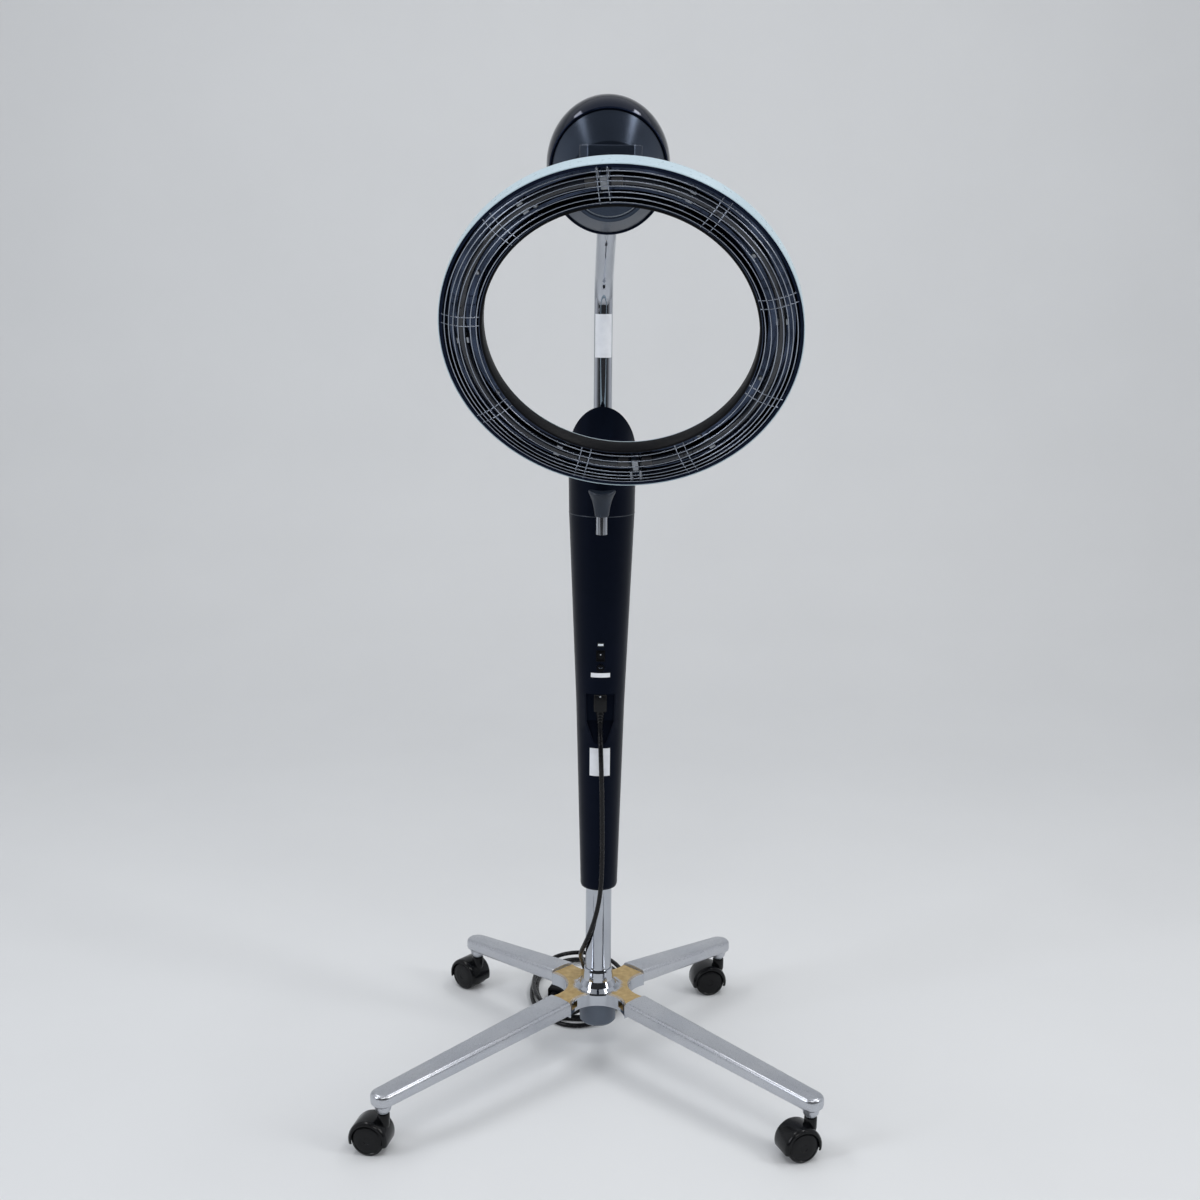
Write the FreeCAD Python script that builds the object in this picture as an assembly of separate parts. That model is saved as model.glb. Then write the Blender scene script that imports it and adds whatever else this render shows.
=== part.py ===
import FreeCAD, Part
import math
import os

from FreeCAD import Vector as V

# Hair colour processor: a heater ring on a turning arm, held by a bent tube that slides
# in a tapered column on a four-leg base with twin-wheel casters.
# Millimetres, +Z up, the column's axis is the Z axis, the floor is z = 0, the front faces -Y.

# ---- driving dimensions -------------------------------------------------------------
front_reach = 450.0          # caster stem to the column's axis, front legs
rear_reach = 308.0           # the same, rear legs
leg_angle = 45.7             # each leg's direction from the X axis, in plan
leg_root_start = 86.0        # where an aluminium leg leaves the hub
leg_root_half_width = 24.0
leg_tip_half_width = 18.0
leg_root_height = 24.5
leg_tip_height = 21.0
leg_root_top = 119.5         # height of a leg's top at its root
leg_tip_top = 96.0           # the same at its tip
socket_radius = 11.5         # boss under a leg's tip
caster_height = 67.0         # floor to the underside of the boss

wheel_diameter = 50.0
wheel_width = 17.0
wheel_gap = 8.0              # between a caster's two wheels
trail = 19.0                 # stem axis to wheel axle
axle_radius = 4.0
hood_radius = 28.5
hood_wall = 2.2
stem_radius = 5.5
stem_drop = 19.0             # length of a stem below the boss, clear of the wheels' rims
running_gap = 0.05           # radial clearance of a turning or sliding fit
free_gap = 0.4               # clearance between pieces that pass each other

hub_radius = 38.0
hub_bottom = 93.0
hub_thickness = 23.0
hub_top = hub_bottom + hub_thickness
collar_top = 148.0
tongue_length = 28.0
tongue_half_width = 15.0
tongue_thickness = 11.0
bolt_radius = 5.0
hub_web_radius = 51.0        # webs between two legs, measured from the axis
front_web_radius = 33.0
lower_cap_bottom = 53.0
lower_cap_radius = 29.5
lower_cap_flange = 33.0

post_radius = 21.0
post_wall = 2.5
post_foot = 98.0

column_bottom = 291.0
column_foot_radius = 29.6
column_middle = 600.0        # the taper opens a little above this height
column_middle_radius = 38.2
column_seam_radius = 50.9    # at the joint of the cover and its cap
column_peak_radius = 53.2
column_wall = 3.0
seam_height = 906.0          # joint of the column's cover and its cap
cap_rise = 168.0             # from there to the front edge of the slanted top
column_peak = seam_height + cap_rise
clamp_drop = 14.0            # the clamp's screw, below the joint
clamp_height = seam_height - clamp_drop
post_drop = 12.0             # the post's end, below the clamp's screw
post_top = clamp_height - post_drop
slant_angle = 56.7           # the top face's slope, from level
foot_ring_height = 9.0

pocket_top = 623.0
pocket_bottom = 541.0
pocket_back = 24.6           # from the axis to the pocket's rear wall
pocket_half_width = 23.0
pocket_wall = 1.8
switch_rise = 63.0           # the switch's middle, above the pocket
indicator_rise = 18.0        # the indicator's middle, above the switch's
breaker_drop = 19.0          # the breaker's middle, below the switch's
plug_length = 29.0           # the cord's connector, below the inlet
relief_length = 20.0         # its strain relief

head_height = 1419.0         # hood centre, above the floor
tube_radius = 14.0
tube_wall = 2.0
tube_foot = 560.0
bend_drop = 201.0            # start of the lower bend, below the hood's centre
tube_bend_start = head_height - bend_drop
tube_bend_radius = 60.0
tube_bend_angle = 60.0
tube_lean_length = 100.0
tube_end_rise = 14.0         # straight piece above the upper bend
tag_high = tube_bend_start - 9.0   # upper end of the tube's blank label
tag_length = 65.0
bush_length = 110.0
bush_flange = 5.0
arm_yaw = 1.5                # how far the arm stands turned about the column

head_half_width = 85.0       # round black hood
head_half_height = 94.0
head_from_column = 185.0     # hood centre, ahead of the column's axis
head_wall = 3.0
head_pitch = 20.0            # the hood's opening faces this far below level
opening_ahead = 26.0         # plane of the opening, ahead of the hood's centre
drum_gap = 0.5               # between the opening and the satin drum in it
drum_skirt = 8.0             # the drum's length inside the hood
drum_length = 40.0
drum_face_radius = 55.0
pin_radius = 5.0
pin_drop = 21.0              # tilt pin, below the hood's centre
pin_height = head_height - pin_drop
ear_gap = 36.0               # between the frame's two side plates
ear_thickness = 4.0

turn_pitch = 50.0            # the ring's turning axis, below level
turn_reach = 100.0           # centre of the turning flange, ahead of the hood's centre
turn_drop = 34.0             # and below it
turn_ahead = head_from_column + turn_reach
turn_height = head_height - turn_drop
nose_half_width = 41.0
nose_rise = 21.0             # the nose's top, above the hood's centre
nose_drop = 47.0             # its underside, below the hood's centre
nose_reach = 127.0           # its upright face, ahead of the hood's centre
nose_top = head_height + nose_rise
nose_bottom = head_height - nose_drop
nose_ahead = head_from_column + nose_reach
nose_chamfer = 11.0
motor_radius = 17.5
motor_length = 58.0
motor_start = V(0, -head_from_column - 77.0, pin_height + 6.0)
gearbox_depth = 27.0          # along the turning axis, behind the nose's wall
gearbox_half_height = 18.0
shaft_radius = 6.0
arm_disc_radius = 24.0
arm_disc_thickness = 11.0

ring_radius = 241.0          # outside of the heater ring
ring_bore = 182.5            # its opening
ring_depth = 29.0
ring_wall = 2.5
ring_reach = 155.0           # the ring's centre, ahead of the hood's centre
ring_drop = 222.3            # and below it
ring_centre = V(21.9, -head_from_column - ring_reach, head_height - ring_drop)
ring_pitch = 26.9            # the ring's axis, below level
ring_skew = -4.2             # the ring's axis, sideways
ring_roll = 4.5              # the ring stands turned this far about its own axis
wire_radius = 1.0
guard_crown = 4.2            # the guard bars' centre line over the rim, at their middle
guard_foot = -1.6            # and at their ends, in the reflector
wire_bite = 0.15             # how deep a ring is welded into a bar
guard_shares = [0.90099, 0.782178, 0.663366, 0.534653, 0.376238, 0.217822, 0.069307]  # rings along a bar
bar_pairs = 9
bar_spacing = 13.0
heater_tube_radius = 6.0
clip_count = 6

cord_radius = 3.8
coil_half_width = 95.0
coil_half_depth = 145.0
coil_band = 34.0
coil_height = 26.0
coil_centre = V(-33.0, 206.0, 0.0)

# ---- small helpers ------------------------------------------------------------------
X, Y, Z = V(1, 0, 0), V(0, 1, 0), V(0, 0, 1)
cos = lambda degrees: math.cos(math.radians(degrees))
sin = lambda degrees: math.sin(math.radians(degrees))
os.makedirs("parts", exist_ok=True)


def save(name, *solids):
    shape = solids[0] if len(solids) == 1 else Part.makeCompound(list(solids))
    shape.exportStep("parts/" + name + ".step")


def box(low, high):
    return Part.makeBox(high[0] - low[0], high[1] - low[1], high[2] - low[2], V(*low))


def rod(radius, start, end):
    return Part.makeCylinder(radius, (end - start).Length, start, end - start)


def pipe_between(outer, inner, low, high):
    return rod(outer, Z * low, Z * high).cut(rod(inner, Z * (low - 1), Z * (high + 1)))


def face_of(points):
    return Part.Face(Part.makePolygon(points + points[:1]))


def spun(profile):
    """Solid of revolution about Z of (radius, height) points."""
    return face_of([V(r, 0, h) for r, h in profile]).revolve(V(), Z, 360)


def local(x_axis, y_axis, origin):
    """Placement whose own X and Y lie along the two axes."""
    z_axis = x_axis.cross(y_axis)
    turn = FreeCAD.Rotation(x_axis, y_axis, z_axis, "XYZ")
    return FreeCAD.Placement(origin, turn)


def moved(shape, placement):
    result = shape.copy()
    result.Placement = placement.multiply(result.Placement)
    return result


def turned(shape, degrees, about=Z, centre=V()):
    result = shape.copy()
    result.rotate(centre, about, degrees)
    return result


def rounded_box(half_x, half_y, low, high, radius):
    block = box((-half_x, -half_y, low), (half_x, half_y, high))
    upright = [e for e in block.Edges if abs(e.Vertexes[0].Z - e.Vertexes[1].Z) > 1e-6]
    return block.makeFillet(radius, upright)


# ---- base: hub, legs, post ----------------------------------------------------------
legs = {
    "front_right": (front_reach, -leg_angle),
    "front_left": (front_reach, leg_angle - 180),
    "rear_left": (rear_reach, 180 - leg_angle),
    "rear_right": (rear_reach, leg_angle),
}
caster_heading = {"front_right": 200.0, "front_left": 168.0, "rear_left": 140.0, "rear_right": 190.0}


def make_hub():
    sides = sorted(angle % 360 for _, angle in legs.values())
    edges = []
    for i, angle in enumerate(sides):
        following = sides[(i + 1) % 4]
        end = lambda a, side: turned_point(leg_root_start, side * leg_root_half_width, a)
        between = angle + ((following - angle) % 360) / 2
        neck = front_web_radius if sin(between) < -0.9 else hub_web_radius
        web = V(neck * cos(between), neck * sin(between), 0)
        edges.append(Part.makeLine(end(angle, -1), end(angle, 1)))
        edges.append(Part.Arc(end(angle, 1), web, end(following, -1)).toShape())
    plate = Part.Face(Part.Wire(edges))
    plate.translate(Z * hub_bottom)
    plate = plate.extrude(Z * hub_thickness)
    plate = plate.makeChamfer(2.5, [e for e in plate.Edges if is_level(e, hub_top)])
    collar = spun([(0, hub_top - 4), (hub_radius, hub_top - 4), (hub_radius - 1, hub_top - 1),
                   (post_radius + 9, hub_top + 4), (post_radius + 4, hub_top + 13),
                   (post_radius + 2.5, collar_top - 4), (post_radius + 1.5, collar_top), (0, collar_top)])
    boss = spun([(0, hub_bottom), (lower_cap_flange - 1, hub_bottom), (hub_radius - 10, hub_top - 4),
                 (0, hub_top - 4)])
    hub = plate.fuse([collar, boss]).removeSplitter()
    hub = hub.cut(rod(post_radius, Z * post_foot, Z * (collar_top + 1)))
    hub = hub.cut(rod(bolt_radius, Z * (hub_bottom - 1), Z * (post_foot + 1)))
    for reach, angle in legs.values():
        hub = hub.cut(turned(leg_tongue(0), angle)).cut(turned(leg_screw(), angle))
    return hub


def leg_tongue(overrun):
    """The tongue by which a leg sits in the hub."""
    middle = hub_bottom + hub_thickness / 2
    half = tongue_thickness / 2
    return box((leg_root_start - tongue_length, -tongue_half_width, middle - half),
               (leg_root_start + overrun, tongue_half_width, middle + half))


def leg_screw():
    """Countersunk screw from beneath the hub into a leg's tongue."""
    x = leg_root_start - tongue_length / 2
    shank = rod(3.0, V(x, 0, hub_bottom + 2), V(x, 0, hub_bottom + hub_thickness / 2 + 4))
    return shank.fuse(Part.makeCone(6.0, 3.0, 3.0, V(x, 0, hub_bottom), Z)).removeSplitter()


def turned_point(along, across, degrees):
    return V(along * cos(degrees) - across * sin(degrees), along * sin(degrees) + across * cos(degrees), 0)


def is_level(edge, height):
    return all(abs(v.Z - height) < 1e-6 for v in edge.Vertexes)


def leg_section(along, half_width, top, height):
    """Rounded trapezoid across a leg: crowned top, upright sides, lower edges drawn in."""
    corners = [(-0.62, 0.0), (0.62, 0.0), (0.97, -0.20), (1.0, -0.55), (0.62, -1.0), (-0.62, -1.0),
               (-1.0, -0.55), (-0.97, -0.20)]
    points = [V(along, w * half_width, top + h * height) for w, h in corners]
    crown = V(along, 0, top + 0.06 * height)
    edges = [Part.Arc(points[0], crown, points[1]).toShape()]
    edges += [Part.makeLine(a, b) for a, b in zip(points[1:], points[2:] + points[:1])]
    return Part.Wire(edges)


def make_leg(reach):
    tip = reach + leg_tip_half_width
    body = Part.makeLoft([leg_section(leg_root_start, leg_root_half_width, leg_root_top, leg_root_height),
                          leg_section(tip, leg_tip_half_width, leg_tip_top, leg_tip_height)], True, True)
    plan = box((leg_root_start, -40, 0), (reach, 40, 200))
    plan = plan.fuse(rod(leg_tip_half_width, V(reach, 0, 0), V(reach, 0, 200)))
    body = body.common(plan).fuse(leg_tongue(1.0))
    boss_top = leg_tip_top - leg_tip_height + 2
    boss = Part.makeCone(socket_radius, socket_radius + 2, boss_top - caster_height, V(reach, 0, caster_height))
    socket = rod(stem_radius, V(reach, 0, caster_height - 1), V(reach, 0, caster_height + 20))
    return body.fuse(boss).removeSplitter().cut(socket).cut(leg_screw())


def make_stem(reach):
    """Caster stem: pressed in the leg, with a collar and a journal that carries the hood."""
    foot = caster_height - stem_drop
    stem = rod(stem_radius, V(reach, 0, foot), V(reach, 0, caster_height + 20))
    collar = rod(stem_radius + 3, V(reach, 0, caster_height - 3), V(reach, 0, caster_height))
    return stem.fuse(collar)


save("hub", make_hub())
stems, leg_screws = [], []
for name, (reach, angle) in legs.items():
    save("leg_" + name, turned(make_leg(reach), angle))
    stems.append(turned(make_stem(reach), angle))
    leg_screws.append(turned(leg_screw(), angle))
save("caster_stems", *stems)

lower_cap = spun([(0, lower_cap_bottom), (lower_cap_radius - 4, lower_cap_bottom),
                  (lower_cap_radius, lower_cap_bottom + 4), (lower_cap_radius + 1, hub_bottom - 4),
                  (lower_cap_flange, hub_bottom - 3), (lower_cap_flange, hub_bottom),
                  (lower_cap_radius - 3, hub_bottom), (lower_cap_radius - 3, lower_cap_bottom + 6),
                  (0, lower_cap_bottom + 6)])
save("lower_cap", lower_cap)

post = pipe_between(post_radius, post_radius - post_wall, post_foot, post_top)
foot_plug = rod(post_radius - post_wall, Z * post_foot, Z * (post_foot + 14))
post = post.fuse(foot_plug).cut(rod(bolt_radius, Z * (post_foot - 1), Z * (post_foot + 15)))
save("post", post.removeSplitter())
bolt_head = rod(9.5, Z * (hub_bottom - 7), Z * hub_bottom)
post_bolt = bolt_head.fuse(rod(bolt_radius, Z * (hub_bottom - 1), Z * (post_foot + 14)))
save("hub_screws", post_bolt, *leg_screws)

# ---- casters: each has a turning hood, an axle and a pair of wheels --------------------
axle_height = wheel_diameter / 2
wheel_radius = wheel_diameter / 2


def make_caster():
    """Hood, axle and wheel pair about a stem on the Z axis, trailing along +X, axle along Y."""
    middle = V(trail, 0, axle_height)
    half = wheel_gap / 2
    outer = half + free_gap + wheel_width
    shell = rod(hood_radius, middle - Y * (outer - 3), middle + Y * (outer - 3))
    shell = shell.cut(rod(hood_radius - hood_wall, middle - Y * outer, middle + Y * outer))
    shell = shell.cut(box((-60, -60, -20), (80, 60, axle_height - 5)))
    web = rod(hood_radius - hood_wall / 2, middle - Y * (half - free_gap), middle + Y * (half - free_gap))
    web = web.cut(box((-60, -60, -20), (80, 60, axle_height - 10)))
    journal_top = caster_height - 3.3
    neck = rod(stem_radius + 4, V(0, 0, 30), V(0, 0, journal_top))
    wheel_room = rod(wheel_radius + 1.2, middle - Y * 60, middle - Y * half)
    wheel_room = wheel_room.fuse(rod(wheel_radius + 1.2, middle + Y * half, middle + Y * 60))
    neck = neck.cut(wheel_room)
    hood = shell.fuse([web, neck]).removeSplitter()
    hood = hood.cut(rod(stem_radius + running_gap, V(0, 0, caster_height - 24.5), V(0, 0, journal_top + 1)))
    hood = hood.cut(rod(axle_radius, middle - Y * 60, middle + Y * 60))
    hood = max(hood.Solids, key=lambda s: s.Volume)
    axle = rod(axle_radius, middle - Y * (outer - 2), middle + Y * (outer - 2))
    wheels = []
    for side in (-1, 1):
        inner_face = middle + Y * (side * half)
        outer_face = middle + Y * (side * (half + wheel_width))
        wheel = rod(wheel_radius, inner_face, outer_face)
        rim = [e for e in wheel.Edges if abs(e.Length - math.tau * wheel_radius) < 1e-3]
        wheel = wheel.makeFillet(2.5, rim)
        wheels.append(wheel.cut(rod(axle_radius + running_gap, inner_face - Y * (side * 2), outer_face - Y * (side * 1.5))))
    return hood, axle, Part.makeCompound(wheels)


for name, (reach, angle) in legs.items():
    stem_place = FreeCAD.Placement(turned_point(reach, 0, angle), FreeCAD.Rotation(Z, caster_heading[name]))
    hood, axle, wheels = (moved(piece, stem_place) for piece in make_caster())
    save("caster_hood_" + name, hood)
    save("caster_axle_" + name, axle)
    save("caster_wheels_" + name, *wheels.Solids)

# ---- column: tapered cover, slanted cap, foot ring --------------------------------------


column_taper = [(column_bottom, column_foot_radius), (column_middle, column_middle_radius),
                (seam_height, column_seam_radius), (column_peak, column_peak_radius)]


def column_radius(height):
    """Outer radius of the tapered column at a height."""
    for (low, r_low), (high, r_high) in zip(column_taper, column_taper[1:]):
        if height <= high or high == column_peak:
            return r_low + (height - low) / (high - low) * (r_high - r_low)


def column_solid(inset, low, high):
    """The tapered column drawn in by an inset, between two heights."""
    levels = [low] + [z for z, _ in column_taper[:-1] if low < z < high] + [high]
    return spun([(0, low)] + [(column_radius(z) - inset, z) for z in levels] + [(0, high)])


def above_slant(drop):
    """Everything above the slanted top face lowered by a drop, square to the face."""
    big = box((-120, -200, 0), (120, 200, 200))
    tilted = FreeCAD.Placement(slant_origin, FreeCAD.Rotation(X, -slant_angle))
    big.Placement = tilted.multiply(FreeCAD.Placement(Z * -drop, FreeCAD.Rotation()))
    return big


slant_origin = Z * (column_peak - column_peak_radius * math.tan(math.radians(slant_angle)))
slant_up = V(0, -cos(slant_angle), sin(slant_angle))       # up the slope, towards the front


def on_slant(shape):
    return moved(shape, local(X * -1, slant_up, slant_origin))


def pocket_solid(grow):
    """The inlet pocket, open to the front, grown outwards by its liner's wall."""
    half = pocket_half_width + grow
    top, bottom, back = pocket_top + grow, pocket_bottom - grow, -pocket_back + grow
    front = -70.0
    outline = face_of([V(-half, 0, top), V(half, 0, top), V(half - 2, 0, bottom + 34), V(9 + grow, 0, bottom),
                       V(-9 - grow, 0, bottom), V(-half + 2, 0, bottom + 34)])
    outline.translate(Y * front)
    shape = outline.extrude(Y * (back - front))
    ramp = face_of([V(-50, back, bottom + 36), V(-50, back + 1, bottom - 1), V(-50, -36 + grow, bottom - 1),
                    V(-50, -36 + grow, bottom)]).extrude(X * 100)
    return shape.cut(ramp)


clamp_radius = 4.0
cover = column_solid(0, column_bottom + foot_ring_height, seam_height)
cover = cover.cut(column_solid(column_wall, column_bottom, seam_height + 1))
clamp_wall = column_radius(clamp_height)
boss = rod(10, V(0, -(clamp_wall - 1.5), clamp_height), V(0, -26, clamp_height))
cover = cover.fuse(boss).cut(rod(clamp_radius + running_gap, V(0, -80, clamp_height), V(0, -20, clamp_height)))
cover = cover.cut(pocket_solid(pocket_wall))
switch_z = pocket_top + switch_rise
front_items = {"indicator": switch_z + indicator_rise, "switch": switch_z, "breaker": switch_z - breaker_drop}
cover = cover.cut(box((-5, -70, front_items["indicator"] - 3), (5, -30, front_items["indicator"] + 3)))
cover = cover.cut(box((-7, -70, switch_z - 9), (7, -30, switch_z + 9)))
breaker_radius = 5.0
cover = cover.cut(rod(breaker_radius + 0.2, V(0, -70, front_items["breaker"]), V(0, -30, front_items["breaker"])))
save("column_cover", cover.removeSplitter())

foot_ring = spun([(post_radius, column_bottom), (column_foot_radius - 4, column_bottom),
                  (column_foot_radius - 1, column_bottom + 1.5), (column_foot_radius + 0.1, column_bottom + 5),
                  (column_foot_radius + 0.3, column_bottom + foot_ring_height),
                  (column_foot_radius - column_wall, column_bottom + foot_ring_height),
                  (column_foot_radius - column_wall, column_bottom + foot_ring_height + 8),
                  (post_radius, column_bottom + foot_ring_height + 8)])
save("column_foot_ring", foot_ring)

cap = column_solid(0, seam_height, column_peak + 6).cut(above_slant(0))
hollow = column_solid(column_wall, seam_height - 1, column_peak + 6).cut(above_slant(column_wall))
tube_hole = rod(tube_radius + free_gap, Z * seam_height, Z * (column_peak + 20))
cap = cap.cut(hollow).cut(tube_hole)

# ---- control panel on the slanted top -----------------------------------------------
panel_middle = -55.0          # along the slope, below the tube
panel_half_width = 27.0
panel_half_length = 22.0
panel_thickness = 1.6
display_middle = panel_middle + 9.5
button_row = panel_middle - 11.5
button_pitch = 17.0
button_radius = 5.0
button_travel = 1.0
button_gap = 0.2
button_names = {"minus_button": -button_pitch, "start_button": 0.0, "plus_button": button_pitch}


def slant_block(half_x, half_y, low, high, radius, x=0.0, along=0.0):
    block = rounded_box(half_x, half_y, low, high, radius)
    block.translate(V(x, along, 0))
    return on_slant(block)


panel = slant_block(panel_half_width, panel_half_length, 0, panel_thickness, 6, 0, panel_middle)
display = slant_block(16, 7, 0, panel_thickness + 0.4, 2, 0, display_middle)
panel = panel.cut(slant_block(16, 7, -1, panel_thickness + 2, 2, 0, display_middle))
for name, x in button_names.items():
    well = on_slant(rod(button_radius + button_gap, V(x, button_row, -12), V(x, button_row, 8)))
    panel = panel.cut(well)
    cap = cap.cut(well)
    stalk = rod(button_radius, V(x, button_row, -column_wall - 2.2), V(x, button_row, panel_thickness + 1.8))
    flange = rod(button_radius + 1.5, V(x, button_row, -column_wall - 2.2), V(x, button_row, -column_wall - 0.2))
    save(name, on_slant(stalk.fuse(flange)))
save("column_cap", cap.removeSplitter())
save("control_panel", panel)
save("display_window", display)

# ---- inlet pocket, switch, breaker, labels -------------------------------------------
whole_column = column_solid(0, column_bottom, seam_height)
liner = pocket_solid(pocket_wall).cut(pocket_solid(0)).common(whole_column)
inlet_half_width = 12.0
inlet_back = -pocket_back + 0.6
inlet_hole = box((-inlet_half_width, -33.9, pocket_top - 1), (inlet_half_width, inlet_back, pocket_top + 5))
save("inlet_pocket", liner.cut(inlet_hole))
inlet = box((-inlet_half_width, -33.9, pocket_top), (inlet_half_width, inlet_back, pocket_top + 20))
blade_room = box((-8, -33, pocket_top - 1), (8, -28, pocket_top + 14))
blades = [box((x - 1, -32, pocket_top + 2), (x + 1, -29, pocket_top + 14)) for x in (-5, 0, 5)]
save("power_inlet", inlet.cut(blade_room).fuse(blades[0]).fuse(blades[1]).fuse(blades[2]))

switch_wall = column_radius(switch_z)
case = box((-7, -switch_wall - 0.6, switch_z - 9), (7, -32, switch_z + 9))
case = case.cut(box((-5.3, -switch_wall - 2, switch_z - 7.3), (5.3, -35.0, switch_z + 7.3)))
pin = rod(1.2, V(-6, -switch_wall + 4.2, switch_z), V(6, -switch_wall + 4.2, switch_z))
save("switch_case", case.fuse(pin))
rocker = face_of([V(-5, -switch_wall + 1.0, switch_z - 6.8), V(-5, -switch_wall - 1.8, switch_z + 5.8),
                  V(-5, -switch_wall + 3.6, switch_z + 6.4), V(-5, -switch_wall + 6.4, switch_z),
                  V(-5, -switch_wall + 4.6, switch_z - 6.8)]).extrude(X * 10)
rocker = rocker.cut(rod(1.2 + running_gap, V(-6, -switch_wall + 4.2, switch_z), V(6, -switch_wall + 4.2, switch_z)))
save("power_switch", rocker)

lens_wall = column_radius(front_items["indicator"])
lens_z = front_items["indicator"]
save("indicator_lens", box((-5, -lens_wall - 0.3, lens_z - 3), (5, -lens_wall + 4, lens_z + 3)))
breaker_wall = column_radius(front_items["breaker"])
breaker_z = front_items["breaker"]
save("breaker_button", rod(breaker_radius, V(0, -breaker_wall - 2.5, breaker_z), V(0, -breaker_wall + 8, breaker_z)))


def label(half_width, low, high):
    """A thin blank plate wrapped on the column's front."""
    skin = column_solid(-0.5, low, high).cut(column_solid(0, low - 1, high + 1))
    return skin.common(box((-half_width, -90, low), (half_width, 0, high)))


upper_label = label(15.0, breaker_z - 16.0, breaker_z - 9.0)
save("blank_labels", upper_label, label(16.0, pocket_bottom - 53.0, pocket_bottom - 7.0))
board_low = pocket_top + 17.0
board = box((-22, 23.5, board_low), (22, 25.5, board_low + 140))
board = board.fuse(box((-14, 25.4, board_low + 20), (14, 31, board_low + 60)))
board = board.fuse(box((-10, 25.4, board_low + 75), (10, 30, board_low + 95)))
board_foot = box((-6, post_radius - 3, board_low + 10), (6, 23.6, board_low + 18))
board_foot = board_foot.cut(rod(post_radius, Z * board_low, Z * (board_low + 30)))
save("power_board", board.fuse(board_foot))

# ---- clamp lever ----------------------------------------------------------------------
lever_ahead = clamp_wall + 24.0
elbow_radius = 8.6
screw = rod(clamp_radius, V(0, -tube_radius - free_gap, clamp_height), V(0, -lever_ahead, clamp_height))
elbow = rod(elbow_radius, V(0, -lever_ahead, clamp_height - 8), V(0, -lever_ahead, clamp_height + 19))
shoulder = rod(7.0, V(0, -clamp_wall - 0.6, clamp_height), V(0, -lever_ahead, clamp_height))
save("clamp_lever", elbow.fuse([shoulder, screw]).removeSplitter())
knob = spun([(0, 0), (10.5, 0), (11.5, 4), (13.0, 16), (16.5, 29), (20.5, 37), (20.5, 39.5), (17.5, 40.5), (9, 38.2),
             (0, 37.5)])
knob.translate(V(0, -lever_ahead, clamp_height + 19))
save("clamp_knob", knob)

# ---- arm: bush, bent tube, neck block --------------------------------------------------
bush_inner = tube_radius + running_gap
bush_outer = post_radius - post_wall - running_gap
bush = pipe_between(bush_outer, bush_inner, post_top - bush_length, post_top)
bush = bush.fuse(pipe_between(post_radius - 0.5, bush_inner, post_top, post_top + bush_flange))
save("swivel_bush", bush.removeSplitter())

bend = tube_bend_angle
corner = lambda y, z: V(0, y, z)
lower_end = corner(-tube_bend_radius * (1 - cos(bend)), tube_bend_start + tube_bend_radius * sin(bend))
upper_start = lower_end + V(0, -sin(bend), cos(bend)) * tube_lean_length
upper_end = upper_start + corner(-tube_bend_radius * (1 - cos(bend)), tube_bend_radius * sin(bend))
lower_middle = corner(-tube_bend_radius * (1 - cos(bend / 2)), tube_bend_start + tube_bend_radius * sin(bend / 2))
upper_middle = upper_end + corner(tube_bend_radius * (1 - cos(bend / 2)), -tube_bend_radius * sin(bend / 2))
tube_top = upper_end + Z * tube_end_rise
tube_path = Part.Wire([
    Part.makeLine(Z * tube_foot, Z * tube_bend_start),
    Part.Arc(Z * tube_bend_start, lower_middle, lower_end).toShape(),
    Part.makeLine(lower_end, upper_start),
    Part.Arc(upper_start, upper_middle, upper_end).toShape(),
    Part.makeLine(upper_end, tube_top),
])


def swept(radius):
    section = Part.Wire(Part.makeCircle(radius, Z * tube_foot, Z))
    return tube_path.makePipeShell([section], True, False)


def on_arm(shape):
    return turned(shape, arm_yaw)


foot_guide = pipe_between(bush_outer, tube_radius - 1, tube_foot, tube_foot + 16)
arm_tube = swept(tube_radius).cut(swept(tube_radius - tube_wall)).fuse(foot_guide)
save("arm_tube", on_arm(arm_tube.removeSplitter()))
tag_low = tag_high - tag_length
tag = pipe_between(tube_radius + 0.4, tube_radius, tag_low, tag_high)
save("tube_label", on_arm(tag.common(box((-12.4, -40, tag_low), (12.4, 0, tag_high)))))

pin_centre = V(0, upper_end.y, pin_height)
neck_half = ear_gap / 2 - 0.3
neck_block = rounded_box(neck_half, 15, tube_top.z, pin_height + 14, 5)
neck_block.translate(Y * upper_end.y)
spigot = rod(tube_radius - tube_wall, tube_top - Z * 5, tube_top + Z)
neck_block = neck_block.fuse(spigot)
neck_block = neck_block.cut(rod(pin_radius + running_gap, pin_centre - X * 40, pin_centre + X * 40))
save("neck_block", on_arm(neck_block.removeSplitter()))

# ---- head: hood, satin front cover with nose, frame, pin, motor --------------------------
head_axis = V(0, -cos(head_pitch), -sin(head_pitch))
head_centre = V(0, -head_from_column, head_height)
opening_place = local(X, head_axis.cross(X), head_centre)     # own Z runs out of the hood's opening
turn_axis = V(0, -cos(turn_pitch), -sin(turn_pitch))
turn_centre = V(0, -turn_ahead, turn_height)
turn_place = local(X, turn_axis.cross(X), turn_centre)        # own Z runs out of the nose


def in_opening(shape):
    return moved(shape, opening_place)


def in_nose(shape):
    return moved(shape, turn_place)


def spheroid(inset):
    """The hood's round body about an upright axis, drawn in by an inset."""
    wide, tall = head_half_width - inset, head_half_height - inset
    arc = Part.ArcOfEllipse(Part.Ellipse(V(), tall, wide), -math.pi, 0).toShape()
    arc.rotate(V(), Z, 90)
    arc.rotate(V(), X, 90)
    ends = [v.Point for v in arc.Vertexes]
    body = Part.Face(Part.Wire([arc, Part.makeLine(ends[1], ends[0])])).revolve(V(), Z, 360)
    body.translate(head_centre)
    return body


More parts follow.
